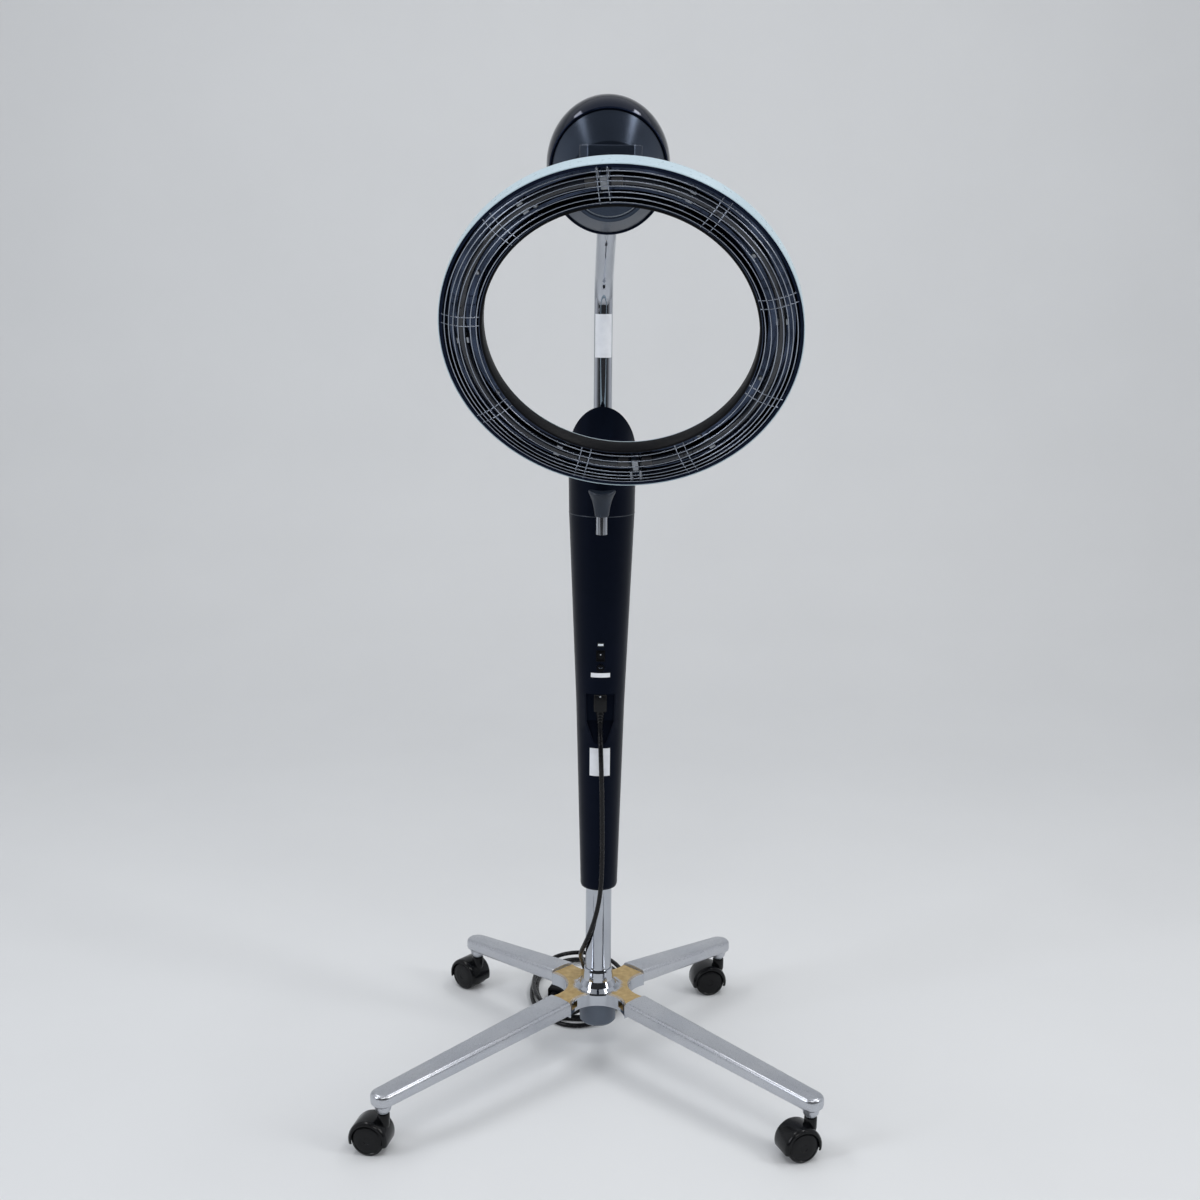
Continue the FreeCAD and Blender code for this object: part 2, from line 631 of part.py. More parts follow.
def opening_ellipse(inset, ahead):
    """Outline of the drum: the hood's section at its opening, drawn in, at a plane ahead."""
    tilt_share = math.hypot(head_half_height * cos(head_pitch), head_half_width * sin(head_pitch))
    depth = math.sqrt(1 - (opening_ahead / math.hypot(head_half_width * cos(head_pitch),
                                                      head_half_height * sin(head_pitch))) ** 2)
    wide = head_half_width * depth - head_wall - inset
    tall = tilt_share * depth - head_wall - inset
    outline = Part.Ellipse(V(), tall, wide).toShape()
    outline.rotate(V(), Z, 90)
    outline.translate(V(0, drum_rise, ahead))
    return Part.Wire(outline)


# the section of an upright spheroid by a leaning plane is centred a little off the plane's foot
drum_rise = -opening_ahead * sin(head_pitch) * cos(head_pitch) * (head_half_height ** 2 - head_half_width ** 2) / (
    (head_half_width * cos(head_pitch)) ** 2 + (head_half_height * sin(head_pitch)) ** 2)


def drum(inset, back, front):
    start = opening_ellipse(drum_gap + inset, opening_ahead)
    face = Part.Wire(Part.makeCircle(drum_face_radius - inset * 0.8, V(0, drum_rise, front)))
    body = Part.makeLoft([start, face], True, True)
    skirt = Part.Face(start).extrude(Z * (back - opening_ahead))
    return in_opening(body.fuse(skirt))


def nose(inset):
    half = nose_half_width - inset
    cut_ = nose_chamfer - inset * 0.6
    ahead = -(nose_ahead - inset)
    root = -head_from_column - 35.0
    outline = [V(-half, root, 0), V(half, root, 0), V(half, ahead + cut_, 0), V(half - cut_, ahead, 0),
               V(-half + cut_, ahead, 0), V(-half, ahead + cut_, 0)]
    block = face_of(outline).extrude(Z * (nose_top - nose_bottom - 2 * inset))
    block.translate(Z * (nose_bottom + inset))
    beyond = in_nose(box((-100, -200, -inset), (100, 200, 150)))
    return block.cut(beyond)


hood_inside = spheroid(head_wall)
drum_front = opening_ahead + drum_length
before_opening = in_opening(box((-120, -120, opening_ahead), (120, 120, 160)))
slot_low = head_height - head_half_height - 5
tube_slot = box((-tube_radius - 3, pin_centre.y - 24, slot_low), (tube_radius + 3, pin_centre.y + 60, pin_height - 8))
hood = spheroid(0).cut(hood_inside).cut(before_opening).cut(tube_slot)
save("head_hood", on_arm(max(hood.Solids, key=lambda s: s.Volume)))

inside = drum(head_wall, opening_ahead - drum_skirt - 1, drum_front - head_wall)
front = drum(0, opening_ahead - drum_skirt, drum_front).fuse(nose(0))
front = front.cut(inside.fuse(nose(head_wall)))
front = front.cut(in_opening(box((-120, -120, -100), (120, 120, opening_ahead - drum_skirt))))
front = front.cut(in_nose(rod(shaft_radius + free_gap, Z * -20, Z * 5)))
save("front_cover", on_arm(max(front.Solids, key=lambda s: s.Volume)))

ear_outer = ear_gap / 2 + ear_thickness
gearbox_back = head_wall + gearbox_depth
plate_at = lambda back, up: turn_centre - turn_axis * back + V(0, -sin(turn_pitch), cos(turn_pitch)) * up
plate_half = gearbox_half_height - 2
side_outline = [V(0, pin_centre.y + 11, pin_height - 10), V(0, pin_centre.y + 11, pin_height + 12),
                V(0, -head_from_column - 15, head_height + 5), plate_at(gearbox_back, plate_half),
                plate_at(head_wall + 3, plate_half), plate_at(head_wall + 3, -plate_half),
                V(0, pin_centre.y - 12, pin_height - 12)]
side_plate = face_of(side_outline).extrude(X * ear_thickness)
right_side = side_plate.copy()
left_side = side_plate.copy()
right_side.translate(X * (ear_gap / 2))
left_side.translate(X * -ear_outer)
spreader = box((-90, -head_from_column - 6, head_height - 11), (90, -head_from_column + 6, head_height - 6))
frame = right_side.fuse([left_side, spreader.common(hood_inside)])
frame = frame.cut(rod(pin_radius, pin_centre - X * 60, pin_centre + X * 60)).removeSplitter()
save("head_frame", on_arm(frame))
save("tilt_pin", on_arm(rod(pin_radius, pin_centre - X * (ear_outer + 2), pin_centre + X * (ear_outer + 2))))
gearbox = in_nose(box((-ear_gap / 2, -gearbox_half_height, -gearbox_back),
                      (ear_gap / 2, gearbox_half_height, -head_wall)))
motor = rod(motor_radius, motor_start, motor_start - head_axis * motor_length)
shaft_back = gearbox_back - 3
shaft_bore = in_nose(rod(shaft_radius + running_gap, Z * (-shaft_back - 1), Z))
save("gear_motor", on_arm(motor.fuse(gearbox).cut(shaft_bore).removeSplitter()))

# ---- ring: shell, reflector, heater, guard, arm -------------------------------------------
ring_axis = V(sin(ring_skew) * cos(ring_pitch), -cos(ring_skew) * cos(ring_pitch), -sin(ring_pitch))
ring_side = Z.cross(ring_axis).normalize()
ring_up = ring_axis.cross(ring_side)
ring_place = local(ring_side, ring_up, ring_centre).multiply(FreeCAD.Placement(V(), FreeCAD.Rotation(Z, ring_roll)))


def in_ring(shape):
    return moved(shape, ring_place)


def trough(outer, inner, front, back, wall, round_):
    """Ring-shaped trough, open at the front, with round_ chamfered back corners."""
    profile = [(inner, front), (inner, back + round_), (inner + round_, back), (outer - round_, back),
               (outer, back + round_), (outer, front), (outer - wall, front), (outer - wall, back + round_ + wall * 0.4),
               (outer - round_ - wall * 0.4, back + wall), (inner + round_ + wall * 0.4, back + wall),
               (inner + wall, back + round_ + wall * 0.4), (inner + wall, front)]
    return spun(profile)


shell = trough(ring_radius, ring_bore, 0, -ring_depth, ring_wall, 7)
save("ring_shell", in_ring(shell))
gap = ring_wall + 0.3
reflector_wall = 1.2
reflector = trough(ring_radius - gap, ring_bore + gap, -1.5, -ring_depth + gap, reflector_wall, 8)
save("ring_reflector", in_ring(reflector))

middle_radius = (ring_radius + ring_bore) / 2
heater_level = -14.0
quartz = Part.makeTorus(middle_radius, heater_tube_radius, Z * heater_level)
seam_gap = box((-6, ring_bore, -40), (6, ring_radius, 10))
quartz = quartz.cut(seam_gap).cut(turned(seam_gap, 180))
save("heater_tubes", *[in_ring(s) for s in quartz.Solids])
clips = []
floor_level = -ring_depth + gap + 1.2
for i in range(clip_count):
    block = box((middle_radius - 8, -4, floor_level), (middle_radius + 8, 4, heater_level + 3))
    block = block.cut(Part.makeTorus(middle_radius, heater_tube_radius + 0.1, Z * heater_level))
    block = max(block.Solids, key=lambda s: s.Volume)
    clips.append(in_ring(turned(block, 90 + (i + 0.5) * 360 / clip_count)))
save("heater_clips", *clips)


bar_inner = ring_bore + gap + reflector_wall
bar_outer = ring_radius - gap - reflector_wall


def guard_level(radius):
    """Height over the rim of the domed guard bars' centre line, at a radius."""
    half = (bar_outer - bar_inner) / 2
    rise = guard_crown - guard_foot
    arc_radius = (half ** 2 + rise ** 2) / (2 * rise)
    return guard_crown - arc_radius + math.sqrt(arc_radius ** 2 - (radius - middle_radius) ** 2)


wires = []
for radius in [bar_inner + (bar_outer - bar_inner) * share for share in guard_shares]:
    wires.append(in_ring(Part.makeTorus(radius, wire_radius, Z * (guard_level(radius) + 2 * wire_radius - wire_bite))))
save("guard_rings", *wires)

bars = []
for i in range(bar_pairs):
    for side in (-1, 1):
        offset = side * bar_spacing / 2
        along = lambda radius: math.sqrt(radius * radius - offset * offset)
        ends = [V(along(bar_inner), offset, guard_foot), V(along(bar_outer), offset, guard_foot)]
        top = V(along(middle_radius), offset, guard_crown)
        arc = Part.Wire(Part.Arc(ends[0], top, ends[1]).toShape())
        start = arc.Edges[0]
        section = Part.Wire(Part.makeCircle(wire_radius, ends[0], start.tangentAt(start.FirstParameter)))
        bars.append(in_ring(turned(arc.makePipeShell([section], True, False), 90 + i * 360 / bar_pairs)))
save("guard_bars", *bars)

pad_level = -ring_depth
pad = box((-30, middle_radius - 17, pad_level - 9), (30, middle_radius + 17, pad_level))
pad = in_ring(pad.makeFillet(7, [e for e in pad.Edges if abs(e.Vertexes[0].Z - e.Vertexes[1].Z) > 1e-6]))
pad_point = ring_place.multVec(V(0, middle_radius, pad_level - 7))
disc_centre = FreeCAD.Rotation(Z, arm_yaw).multVec(turn_centre)
turn_axis_world = FreeCAD.Rotation(Z, arm_yaw).multVec(turn_axis)
disc = rod(arm_disc_radius, disc_centre + turn_axis_world * free_gap, disc_centre + turn_axis_world * arm_disc_thickness)
bar_start = disc_centre + turn_axis_world * (arm_disc_thickness * 0.5 + 1)
reach_line = pad_point - bar_start
flat = turn_axis_world.cross(reach_line).normalize()
bar_place = local(flat, reach_line.cross(flat).normalize(), bar_start)
arm_bar = moved(rounded_box(16, 5, 0, reach_line.Length, 4), bar_place)
ring_room = in_ring(spun([(ring_bore - 20, pad_level), (ring_radius + 30, pad_level), (ring_radius + 30, 60),
                          (ring_bore - 20, 60)]))
nose_room = rod(arm_disc_radius * 3, disc_centre + turn_axis_world * free_gap, disc_centre - turn_axis_world * 60)
ring_arm = disc.fuse([arm_bar, pad]).cut(ring_room).cut(nose_room)
shaft_start = disc_centre - turn_axis_world * shaft_back
shaft_end = disc_centre + turn_axis_world * (arm_disc_thickness - 2)
shaft = rod(shaft_radius, shaft_start, shaft_end)
save("turn_shaft", shaft)
save("ring_arm", ring_arm.cut(shaft).removeSplitter())

# ---- cord -----------------------------------------------------------------------------
plug_centre_y = -33.0
plug_low = pocket_top - plug_length
relief_end = plug_low - relief_length
plug_body = box((-10, plug_centre_y - 7.5, plug_low), (10, plug_centre_y + 7.5, pocket_top))
plug_body = plug_body.makeFillet(3.0, [e for e in plug_body.Edges if abs(e.Vertexes[0].Z - e.Vertexes[1].Z) > 1e-6])
relief = Part.makeCone(cord_radius + 0.6, 6.6, relief_length, V(0, plug_centre_y, relief_end))
plug = plug_body.fuse(relief)
save("cord_plug", plug)

cord_route = [
    V(0.0, plug_centre_y, relief_end),
    V(0.1, -33.6, 563),
    V(0.6, -38.5, 549.5),
    V(1.4, -44.6, 533.5),
    V(2.2, -47.2, 511),
    V(3.2, -46.8, 481),
    V(4.2, -44.6, 440),
    V(4.8, -41.6, 394),
    V(5.0, -39.0, 348),
    V(4.0, -37.4, 305),
    V(0.0, -35.5, 270),
    V(-6.5, -31.5, 241),
    V(-14.0, -25.5, 216),
    V(-21.5, -16.5, 194),
    V(-27.0, -2.0, 176),
    V(-29.0, 16.0, 161),
    V(-28.0, 34.0, 146),
    V(-25.5, 53.5, 129),
    V(-21.0, 68.5, 107),
    V(-17.0, 78.0, 82),
    V(-17.0, 81.0, 57),
    V(-25.0, 80.5, 36),
    V(-40.0, 77.0, 20),
]


def rounded_route(points):
    edges = []
    here = points[0]
    for before, at, after in zip(points, points[1:], points[2:]):
        a = before - at
        b = after - at
        shorter = min(a.Length, b.Length)
        turn = math.pi - a.getAngle(b)
        radius = 0.45 * shorter / math.tan(turn / 2)
        start = at + a.normalize() * (0.45 * shorter)
        end = at + b.normalize() * (0.45 * shorter)
        inward = (a + b).normalize()
        middle = at + inward * (radius / math.cos(turn / 2) - radius)
        edges.append(Part.makeLine(here, start))
        edges.append(Part.Arc(start, middle, end).toShape())
        print("cord bend radius %.0f, turn %.0f" % (radius, math.degrees(turn)))
        here = end
    return Part.Wire(edges + [Part.makeLine(here, points[-1])])


route = rounded_route(cord_route)
first = cord_route[0]
section = Part.Wire(Part.makeCircle(cord_radius, first, cord_route[1] - first))
cord = route.makePipeShell([section], True, False)
print("cord length %.0f, volume ratio %.4f" % (route.Length, cord.Volume / (route.Length * math.pi * cord_radius ** 2)))


def oval(half_x, half_y, low, high):
    outline = Part.Ellipse(V(), half_y, half_x).toShape()
    outline.rotate(V(), Z, 90)
    outline.translate(V(coil_centre.x, coil_centre.y, low))
    return Part.Face(Part.Wire(outline)).extrude(Z * (high - low))


coil = oval(coil_half_width, coil_half_depth, 0, coil_height)
coil = coil.cut(oval(coil_half_width - coil_band, coil_half_depth - coil_band, -1, coil_height + 1))
save("cord_coil", coil)
save("power_cord", cord.cut(coil).cut(plug))

plug_back = V(-77, 174, 11)
plug_turn = -17.5
wall_plug = rounded_box(13, 19, 0, 22, 5)
wall_plug.translate(Y * 19)
blades = [box((x - 0.8, 37, 8), (x + 0.8, 56, 14)) for x in (-6.3, 6.3)]
tail = rod(cord_radius + 1, V(0, -36, 11), V(0, 1, 11))
wall_plug = wall_plug.fuse(blades + [tail])
wall_plug.rotate(V(), Z, plug_turn)
wall_plug.translate(V(plug_back.x, plug_back.y, 0))
wall_plug = wall_plug.cut(coil)
save("wall_plug", max(wall_plug.Solids, key=lambda s: s.Volume))
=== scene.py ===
import bpy
import bmesh
import math
from mathutils import Matrix, Vector


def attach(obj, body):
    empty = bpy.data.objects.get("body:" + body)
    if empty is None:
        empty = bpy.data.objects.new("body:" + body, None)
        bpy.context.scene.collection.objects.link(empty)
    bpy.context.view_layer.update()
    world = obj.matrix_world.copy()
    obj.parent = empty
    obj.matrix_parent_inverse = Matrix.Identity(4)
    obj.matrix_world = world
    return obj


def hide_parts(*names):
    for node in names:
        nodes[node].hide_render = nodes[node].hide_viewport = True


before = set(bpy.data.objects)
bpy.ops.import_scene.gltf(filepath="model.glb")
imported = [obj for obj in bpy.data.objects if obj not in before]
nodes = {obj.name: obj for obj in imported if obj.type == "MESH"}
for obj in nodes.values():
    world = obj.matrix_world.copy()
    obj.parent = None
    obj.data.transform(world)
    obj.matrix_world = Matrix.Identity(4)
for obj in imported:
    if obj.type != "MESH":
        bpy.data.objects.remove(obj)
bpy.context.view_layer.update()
print("frame loaded:", len(nodes), "CAD nodes")

xAxis, zAxis = Vector((1, 0, 0)), Vector((0, 0, 1))
toMetres = Matrix.Scale(0.001, 4)  # pieces are shaped in millimetres


def sine(degrees):
    return math.sin(math.radians(degrees))


def cosine(degrees):
    return math.cos(math.radians(degrees))


def turned(degrees, about="Z"):
    return Matrix.Rotation(math.radians(degrees), 4, about)


def shifted(x, y, z):
    return Matrix.Translation((x, y, z))


def axesAt(ownX, ownY, origin):  # a placement from two of its own axes
    place = Matrix((ownX, ownY, ownX.cross(ownY))).transposed().to_4x4()
    place.translation = origin
    return place


# materials
def toLinear(hexText):
    parts = [int(hexText[i:i + 2], 16) / 255 for i in (1, 3, 5)]
    return tuple(c / 12.92 if c <= 0.04045 else ((c + 0.055) / 1.055) ** 2.4 for c in parts) + (1.0,)


def addNode(tree, kind, settings=(), **links):  # settings name a property or an input, links feed inputs
    node = tree.nodes.new("ShaderNode" + kind)
    for name, value in dict(settings).items():
        if isinstance(name, str) and hasattr(node, name):
            setattr(node, name, value)
        else:
            node.inputs[name].default_value = value
    for name, source in links.items():
        target = int(name[1:]) if name[0] == "i" and name[1:].isdigit() else name.replace("_", " ")
        tree.links.new(source, node.inputs[target])
    return node


def newMaterial(name, shader):
    material = bpy.data.materials.new(name)
    material.use_nodes = True
    tree = material.node_tree
    tree.nodes.clear()
    surface = addNode(tree, "BsdfPrincipled", shader)
    addNode(tree, "OutputMaterial", {}, Surface=surface.outputs[0])
    where = addNode(tree, "TexCoord").outputs["Object"]
    return material, tree, surface, where


def grainOf(tree, where, size, detail):  # noise whose grains are about size mm
    return addNode(tree, "TexNoise", {"Scale": 1000 / size, "Detail": detail}, Vector=where).outputs["Fac"]


def tint(tree, source, first, second):  # blends two colours where the noise is neither low nor high
    ramp = addNode(tree, "ValToRGB", {}, Fac=source)
    ramp.color_ramp.elements[0].position = 0.32
    ramp.color_ramp.elements[0].color = toLinear(first)
    ramp.color_ramp.elements[1].position = 0.68
    ramp.color_ramp.elements[1].color = toLinear(second)
    return ramp.outputs[0]


def madeOf(name, hexes, rough, grain, bump, metallic=0.0, patch=60, **more):  # grain and patch in mm
    shader = {"Metallic": metallic}
    shader.update({key.replace("_", " "): value for key, value in more.items()})
    material, tree, surface, where = newMaterial(name, shader)
    cloudy = grainOf(tree, where, patch, 4)
    fine = grainOf(tree, where, grain, 3)
    haze = addNode(tree, "MapRange", {"From Min": 0.3, "From Max": 0.7, "To Min": rough[0],
                                      "To Max": rough[1]}, Value=fine)
    relief = addNode(tree, "Bump", {"Strength": bump[0], "Distance": bump[1]}, Height=fine)
    tree.links.new(tint(tree, cloudy, *hexes), surface.inputs["Base Color"])
    tree.links.new(haze.outputs[0], surface.inputs["Roughness"])
    tree.links.new(relief.outputs[0], surface.inputs["Normal"])
    return material


# steel and zinc castings plated with bright chrome: a mirror, with the haze of wiping here and there
chrome = madeOf("chromePlate", ("#bcc0c7", "#adb1b9"), (0.04, 0.09), 25, (0.02, 0.0005), 1.0, patch=90)
# the hub's chrome: yellowish brown on the flat, upward-facing tops of its arms, a painted reflection of the
# room's wooden wall; bright elsewhere
hubChromePaintedReflection = madeOf("hubChromeWithPaintedReflection", ("#bcc0c7", "#adb1b9"), (0.04, 0.09), 25, (0.02, 0.0005), 1.0, patch=90)
# colours, finish and mask limits of the painted reflection of the wooden wall on the hub's tops
woodReflection = {"colours": ("#c2a873", "#a88c58"), "metallic": 0.35, "roughness": 0.42, "spot": 9, "ragged": 0.012,
        "reach": (0.042, 0.048), "height": (0.1195, 0.1175), "level": (0.5, 0.9)}


# paints the wooden wall's reflection into the hub's colour where its tops face up: yellowish brown, less
# metallic, rougher
def paintWoodReflectionOnTops(tree):
    surface = next(node for node in tree.nodes if node.type == "BSDF_PRINCIPLED")
    where = addNode(tree, "TexCoord")
    spots = grainOf(tree, where.outputs["Object"], woodReflection["spot"], 4)
    spot = addNode(tree, "SeparateXYZ", {}, Vector=where.outputs["Object"])
    flat = addNode(tree, "CombineXYZ", {}, X=spot.outputs["X"], Y=spot.outputs["Y"])
    reach = addNode(tree, "VectorMath", {"operation": "LENGTH"}, i0=flat.outputs[0]).outputs["Value"]
    ragged = addNode(tree, "Math", {"operation": "MULTIPLY_ADD", 1: woodReflection["ragged"]}, i0=spots, i2=reach)
    facing = addNode(tree, "SeparateXYZ", {}, Vector=where.outputs["Normal"])
    shares = [addNode(tree, "MapRange", {"From Min": limits[0], "From Max": limits[1]}, Value=source)
              for limits, source in ((woodReflection["reach"], ragged.outputs[0]), (woodReflection["height"], spot.outputs["Z"]),
                                     (woodReflection["level"], facing.outputs["Z"]))]
    reflectedShare = shares[0]
    for share in shares[1:]:
        reflectedShare = addNode(tree, "Math", {"operation": "MULTIPLY"}, i0=reflectedShare.outputs[0], i1=share.outputs[0])
    for socket, bright, dull in (("Metallic", 1.0, woodReflection["metallic"]), ("Roughness", 0.06, woodReflection["roughness"])):
        level = addNode(tree, "MapRange", {"To Min": bright, "To Max": dull}, Value=reflectedShare.outputs[0])
        tree.links.new(level.outputs[0], surface.inputs[socket])
    plated = surface.inputs["Base Color"].links[0].from_socket
    woodTone = tint(tree, spots, *woodReflection["colours"])
    colour = addNode(tree, "MixRGB", {}, Fac=reflectedShare.outputs[0], Color1=plated, Color2=woodTone)
    tree.links.new(colour.outputs[0], surface.inputs["Base Color"])


# the hub's tops get the painted reflection of the wooden wall
paintWoodReflectionOnTops(hubChromePaintedReflection.node_tree)
# die-cast aluminium under clear lacquer: satin, faint casting grain of about 0.8 mm
castAluminium = madeOf("lacqueredCastAluminium", ("#c6c8cd", "#bcbfc6"), (0.25, 0.34), 1.2, (0.10, 0.0002),
                       1.0, patch=70)
# zinc-plated mild steel pressings and pins: dull, slightly blue
zincSteel = madeOf("zincPlatedSteel", ("#a9adb3", "#94999f"), (0.28, 0.45), 3, (0.1, 0.0001), 1.0)
# cold-drawn chromed wire of the guard: bright but thin
guardWire = madeOf("chromedWire", ("#a0a7b3", "#8a919d"), (0.14, 0.26), 4, (0.03, 0.0001), 1.0)
# trough of dark-anodised polished aluminium: deep blue-black mirror with spinning marks
darkMirror = madeOf("darkAnodisedReflector", ("#465064", "#2a313f"), (0.10, 0.22), 6, (0.05, 0.0003), 1.0,
                    patch=35)
# moulded ABS, high gloss: the hood and the ring's front rim, which look deep blue-black; the blue specular
# tint paints a navy cast into their reflections, a painted reflection
glossBlack = madeOf("glossBlackAbs", ("#070b14", "#0a0f1b"), (0.05, 0.09), 14, (0.03, 0.0006), patch=120,
                    Specular_IOR_Level=0.26, Specular_Tint=toLinear("#7f9be0"))
# moulded ABS with a fine spark-eroded texture, drawn at 0.9 mm so that it shows: the column, almost matt; its
# blue specular tint paints a navy cast into its reflections, a painted reflection
satinBlack = madeOf("satinBlackAbs", ("#070a11", "#0a0d16"), (0.28, 0.38), 0.9, (0.12, 0.00015), patch=80,
                    Specular_IOR_Level=0.15, Specular_Tint=toLinear("#8ea6e0"))
# nylon of the casters and the mains connector: black, smoother than the column, scuffed
nylonBlack = madeOf("blackNylon", ("#08090b", "#0d0e11"), (0.16, 0.25), 0.8, (0.06, 0.0001), patch=22,
                    Specular_IOR_Level=0.24)
# satin grey-blue painted ABS: the head's drum and nose
graphite = madeOf("graphitePaintedAbs", ("#2c3441", "#36404f"), (0.19, 0.27), 0.8, (0.06, 0.0001), 0.7,
                  patch=90)
# glass-filled nylon of the clamp's knob: slate grey, faintly pearly; on the column's seam bead its lighter
# grey is a painted highlight along the joint
slateNylon = madeOf("slateGreyNylon", ("#1c232d", "#252e3a"), (0.3, 0.42), 0.9, (0.1, 0.00015), 0.35,
                    patch=30)
# moulded ABS with a coarse matt texture: panels, switches and the ring's inner wall, which swallow light
mattBlack = madeOf("mattBlackAbs", ("#07080b", "#0b0c10"), (0.4, 0.55), 0.9, (0.2, 0.0002), patch=30,
                   Specular_IOR_Level=0.09)
# moulded polypropylene of the cup under the hub: blue-grey, waxy
greyCup = madeOf("greyPolypropylene", ("#596371", "#4f5866"), (0.3, 0.42), 1.5, (0.15, 0.0002), patch=40)
# stove enamel over pressed steel: smooth cool white with slight orange peel
whiteEnamel = madeOf("whiteStoveEnamel", ("#bccfd9", "#b3c7d2"), (0.26, 0.34), 5, (0.05, 0.0003), patch=150,
                     Specular_IOR_Level=0.4)
# smoked quartz of the heater tubes: dark glass with small sharp highlights
quartz = madeOf("smokedQuartz", ("#2b3038", "#1d2026"), (0.04, 0.09), 9, (0.03, 0.0003), patch=25, IOR=1.46,
                Coat_Weight=0.5)
# steatite ceramic of the tubes' end caps: dull, browned by heat
ceramic = madeOf("darkSteatiteCeramic", ("#4b4b4d", "#3b3b3e"), (0.4, 0.55), 1.5, (0.2, 0.0002), patch=12)
# opal acrylic over the indicator: milky and glossy
lampWhite = madeOf("opalAcrylic", ("#dfe6ee", "#cfd8e2"), (0.12, 0.2), 3, (0.02, 0.0002), patch=6,
                   Coat_Weight=0.5)
# PVC mains lead: soft gloss, a little dust along it
cordPvc = madeOf("blackPvcSheath", ("#08080b", "#0f1014"), (0.2, 0.34), 6, (0.08, 0.0002), patch=22,
                 Specular_IOR_Level=0.25)
# vinyl film of the bare plates: white, satin
labelFilm = madeOf("plainVinylFilm", ("#e6e9ee", "#dcdfe5"), (0.35, 0.45), 2, (0.05, 0.0001), patch=16)
# smoked acrylic windows: near black, polished
smokedGlass = madeOf("smokedAcrylic", ("#1a211f", "#151a19"), (0.05, 0.09), 12, (0.01, 0.0002),
                     Coat_Weight=0.6)
# pad-printed marks on the buttons: flat light grey
printGrey = madeOf("padPrintedGrey", ("#b8bcc4", "#a9adb6"), (0.4, 0.5), 1, (0.05, 0.0001), patch=8)
# painted can of the gear motor: mid grey, a little dusty
motorSteel = madeOf("greyMotorCan", ("#5d6169", "#4c5058"), (0.35, 0.5), 4, (0.1, 0.0002), 0.6)
print("materials made")


# shaping helpers
def lathe(bm, profile, steps, degrees=360.0, closed=False):  # profile is (radius, height) pairs
    points = [bm.verts.new((radius, 0, height)) for radius, height in profile]
    pairs = list(zip(points, points[1:])) + ([(points[-1], points[0])] if closed else [])
    lines = [bm.edges.new(pair) for pair in pairs]
    full = abs(degrees - 360) < 1e-6
    bmesh.ops.spin(bm, geom=points + lines, cent=(0, 0, 0), axis=(0, 0, 1), angle=math.radians(degrees),
                   steps=steps, use_merge=full, use_duplicate=False)
    bmesh.ops.remove_doubles(bm, verts=bm.verts[:], dist=0.0005)


def bevelEdges(bm, edges, width, segments, clamped=False):
    bmesh.ops.bevel(bm, geom=edges, offset=width, offset_type="OFFSET", segments=segments, profile=0.5,
                    affect="EDGES", material=-1, clamp_overlap=clamped)


def foldedEdges(bm, angle):  # edges where two faces meet at more than angle, in radians
    return [e for e in bm.edges if len(e.link_faces) == 2 and e.calc_face_angle(0) > angle]


def bevelSharp(bm, width, segments=2, degrees=28.0):
    bevelEdges(bm, foldedEdges(bm, math.radians(degrees)), width, segments, True)


def newVerts(made):
    return [g for g in made if isinstance(g, bmesh.types.BMVert)]


def newEdges(made):
    return [g for g in made if isinstance(g, bmesh.types.BMEdge)]


def everythingIn(bm):
    return bm.verts[:] + bm.edges[:] + bm.faces[:]


def blockIn(bm, low, high):
    low, high = Vector(low), Vector(high)
    made = bmesh.ops.create_cube(bm, size=1.0)
    bmesh.ops.scale(bm, vec=high - low, verts=made["verts"])
    bmesh.ops.translate(bm, vec=(low + high) / 2, verts=made["verts"])


def joinInto(target, source, place=Matrix()):  # adds a finished shape to another
    source.transform(place)
    mesh = bpy.data.meshes.new("part")
    source.to_mesh(mesh)
    source.free()
    target.from_mesh(mesh)
    bpy.data.meshes.remove(mesh)


def newPiece(name, bm, place, body, material, stands=(), crease=32.0, recalc=True):
    bm.transform(toMetres @ place)
    if recalc:
        bmesh.ops.recalc_face_normals(bm, faces=bm.faces[:])
    mesh = bpy.data.meshes.new(name)
    bm.to_mesh(mesh)
    bm.free()
    mesh.polygons.foreach_set("use_smooth", [True] * len(mesh.polygons))
    mesh.set_sharp_from_angle(angle=math.radians(crease))
    mesh.materials.append(material)
    piece = bpy.data.objects.new(name, mesh)
    bpy.context.scene.collection.objects.link(piece)
    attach(piece, body)
    if stands:
        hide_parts(*stands)
    return piece


# camera
view = {"lens": 49.65, "height": 1.327, "back": 2.535, "aside": -0.0017, "down": 12.48, "roll": 0.47}
ahead = Vector((0, cosine(view["down"]), -sine(view["down"])))
above = Vector((0, sine(view["down"]), cosine(view["down"])))
rightward = xAxis * cosine(view["roll"]) + above * sine(view["roll"])
upward = above * cosine(view["roll"]) - xAxis * sine(view["roll"])
cameraData = bpy.data.cameras.new("camera")
cameraData.lens = view["lens"]
cameraData.sensor_width = 36
cameraData.sensor_fit = "HORIZONTAL"
cameraData.clip_end = 50
camera = bpy.data.objects.new("camera", cameraData)
cameraPlace = Matrix((rightward, upward, -ahead)).transposed().to_4x4()
cameraPlace.translation = Vector((view["aside"], -view["back"], view["height"]))
camera.matrix_world = cameraPlace
bpy.context.scene.collection.objects.link(camera)
bpy.context.scene.camera = camera

